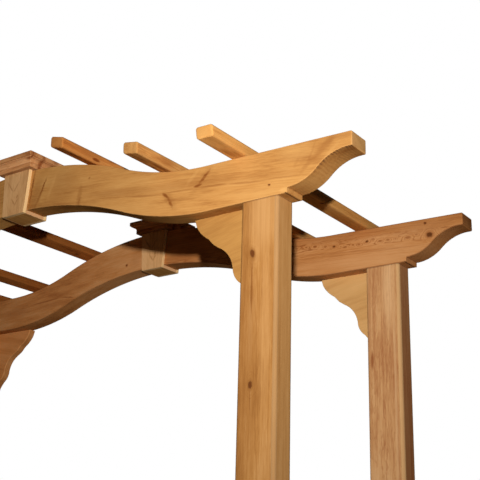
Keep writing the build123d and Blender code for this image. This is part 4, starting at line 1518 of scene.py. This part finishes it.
studio_world()

# %% [markdown]
# The shadow that the front beam throws on the rear one gives the lamp away: lines from its edge back
# over the edge of the front beam all meet just above the camera, to the right of the arbor. The
# lamp is small, because the edges of that shadow are crisp. A large one behind lights the far side.

# %% Lamps
LAMP_SPREAD = 90


def lamp(name, place, target, size, power):
    """A round area lamp whose face is square to the line from its place to its target."""
    light = bpy.data.lights.new(name, "AREA")
    light.shape = "DISK"
    light.size = size
    light.energy = power
    light.spread = radians(LAMP_SPREAD)
    holder = bpy.data.objects.new(name, light)
    holder.location = place
    holder.rotation_euler = (Vector(target) - Vector(place)).to_track_quat("-Z", "Y").to_euler()
    bpy.context.scene.collection.objects.link(holder)
    print(name, power, "W,", size, "m wide,", round((Vector(target) - Vector(place)).length, 2), "m away")


lamp("key lamp", (2.697, -2.755, 1.538), (0.6, 0.0, 2.25), size=0.08, power=34)
lamp("back lamp", (-3.2, 3.6, 3.2), (0.0, 0.0, 1.5), size=2.5, power=62)

# %% [markdown]
# The camera stands where the photograph was taken: low, in front of the right-hand tail, looking up
# and to the left. Its direction is built from three angles, and the lens from the focal length that
# the straight edges of the timbers gave, in pixels of a 480-pixel frame.

# %% Camera
CAMERA_PLACE = (2.7291, -2.7061, 1.0540)
YAW, PITCH, ROLL = 36.19, 18.90, 1.577
FOCAL_PIXELS, FRAME_PIXELS, SENSOR_WIDTH = 939.8, 480, 36


def photo_camera():
    """Look is level + pitch at the yaw; right and up are turned round it by the roll."""
    yaw, pitch, roll = radians(YAW), radians(PITCH), radians(ROLL)
    look = Vector((-sin(yaw) * cos(pitch), cos(yaw) * cos(pitch), sin(pitch)))
    level = Vector((cos(yaw), sin(yaw), 0))
    up = level.cross(look)
    right = cos(roll) * level + sin(roll) * up
    up = -sin(roll) * level + cos(roll) * up
    camera = bpy.data.cameras.new("photo camera")
    camera.sensor_width = SENSOR_WIDTH
    camera.lens = FOCAL_PIXELS / FRAME_PIXELS * SENSOR_WIDTH
    camera.clip_end = 200
    holder = bpy.data.objects.new("photo camera", camera)
    turn = Matrix((right, up, -look)).transposed().to_4x4()
    holder.matrix_world = Matrix.Translation(CAMERA_PLACE) @ turn
    bpy.context.scene.collection.objects.link(holder)
    bpy.context.scene.camera = holder
    print("lens", round(camera.lens, 1), "mm")


photo_camera()
bpy.context.scene.view_settings.view_transform = "Standard"

# %% Pieces and triangles
triangles = sum(len(piece.data.polygons) * 2 for piece in PIECES)
print("pieces:", len(PIECES), "about", triangles, "triangles")
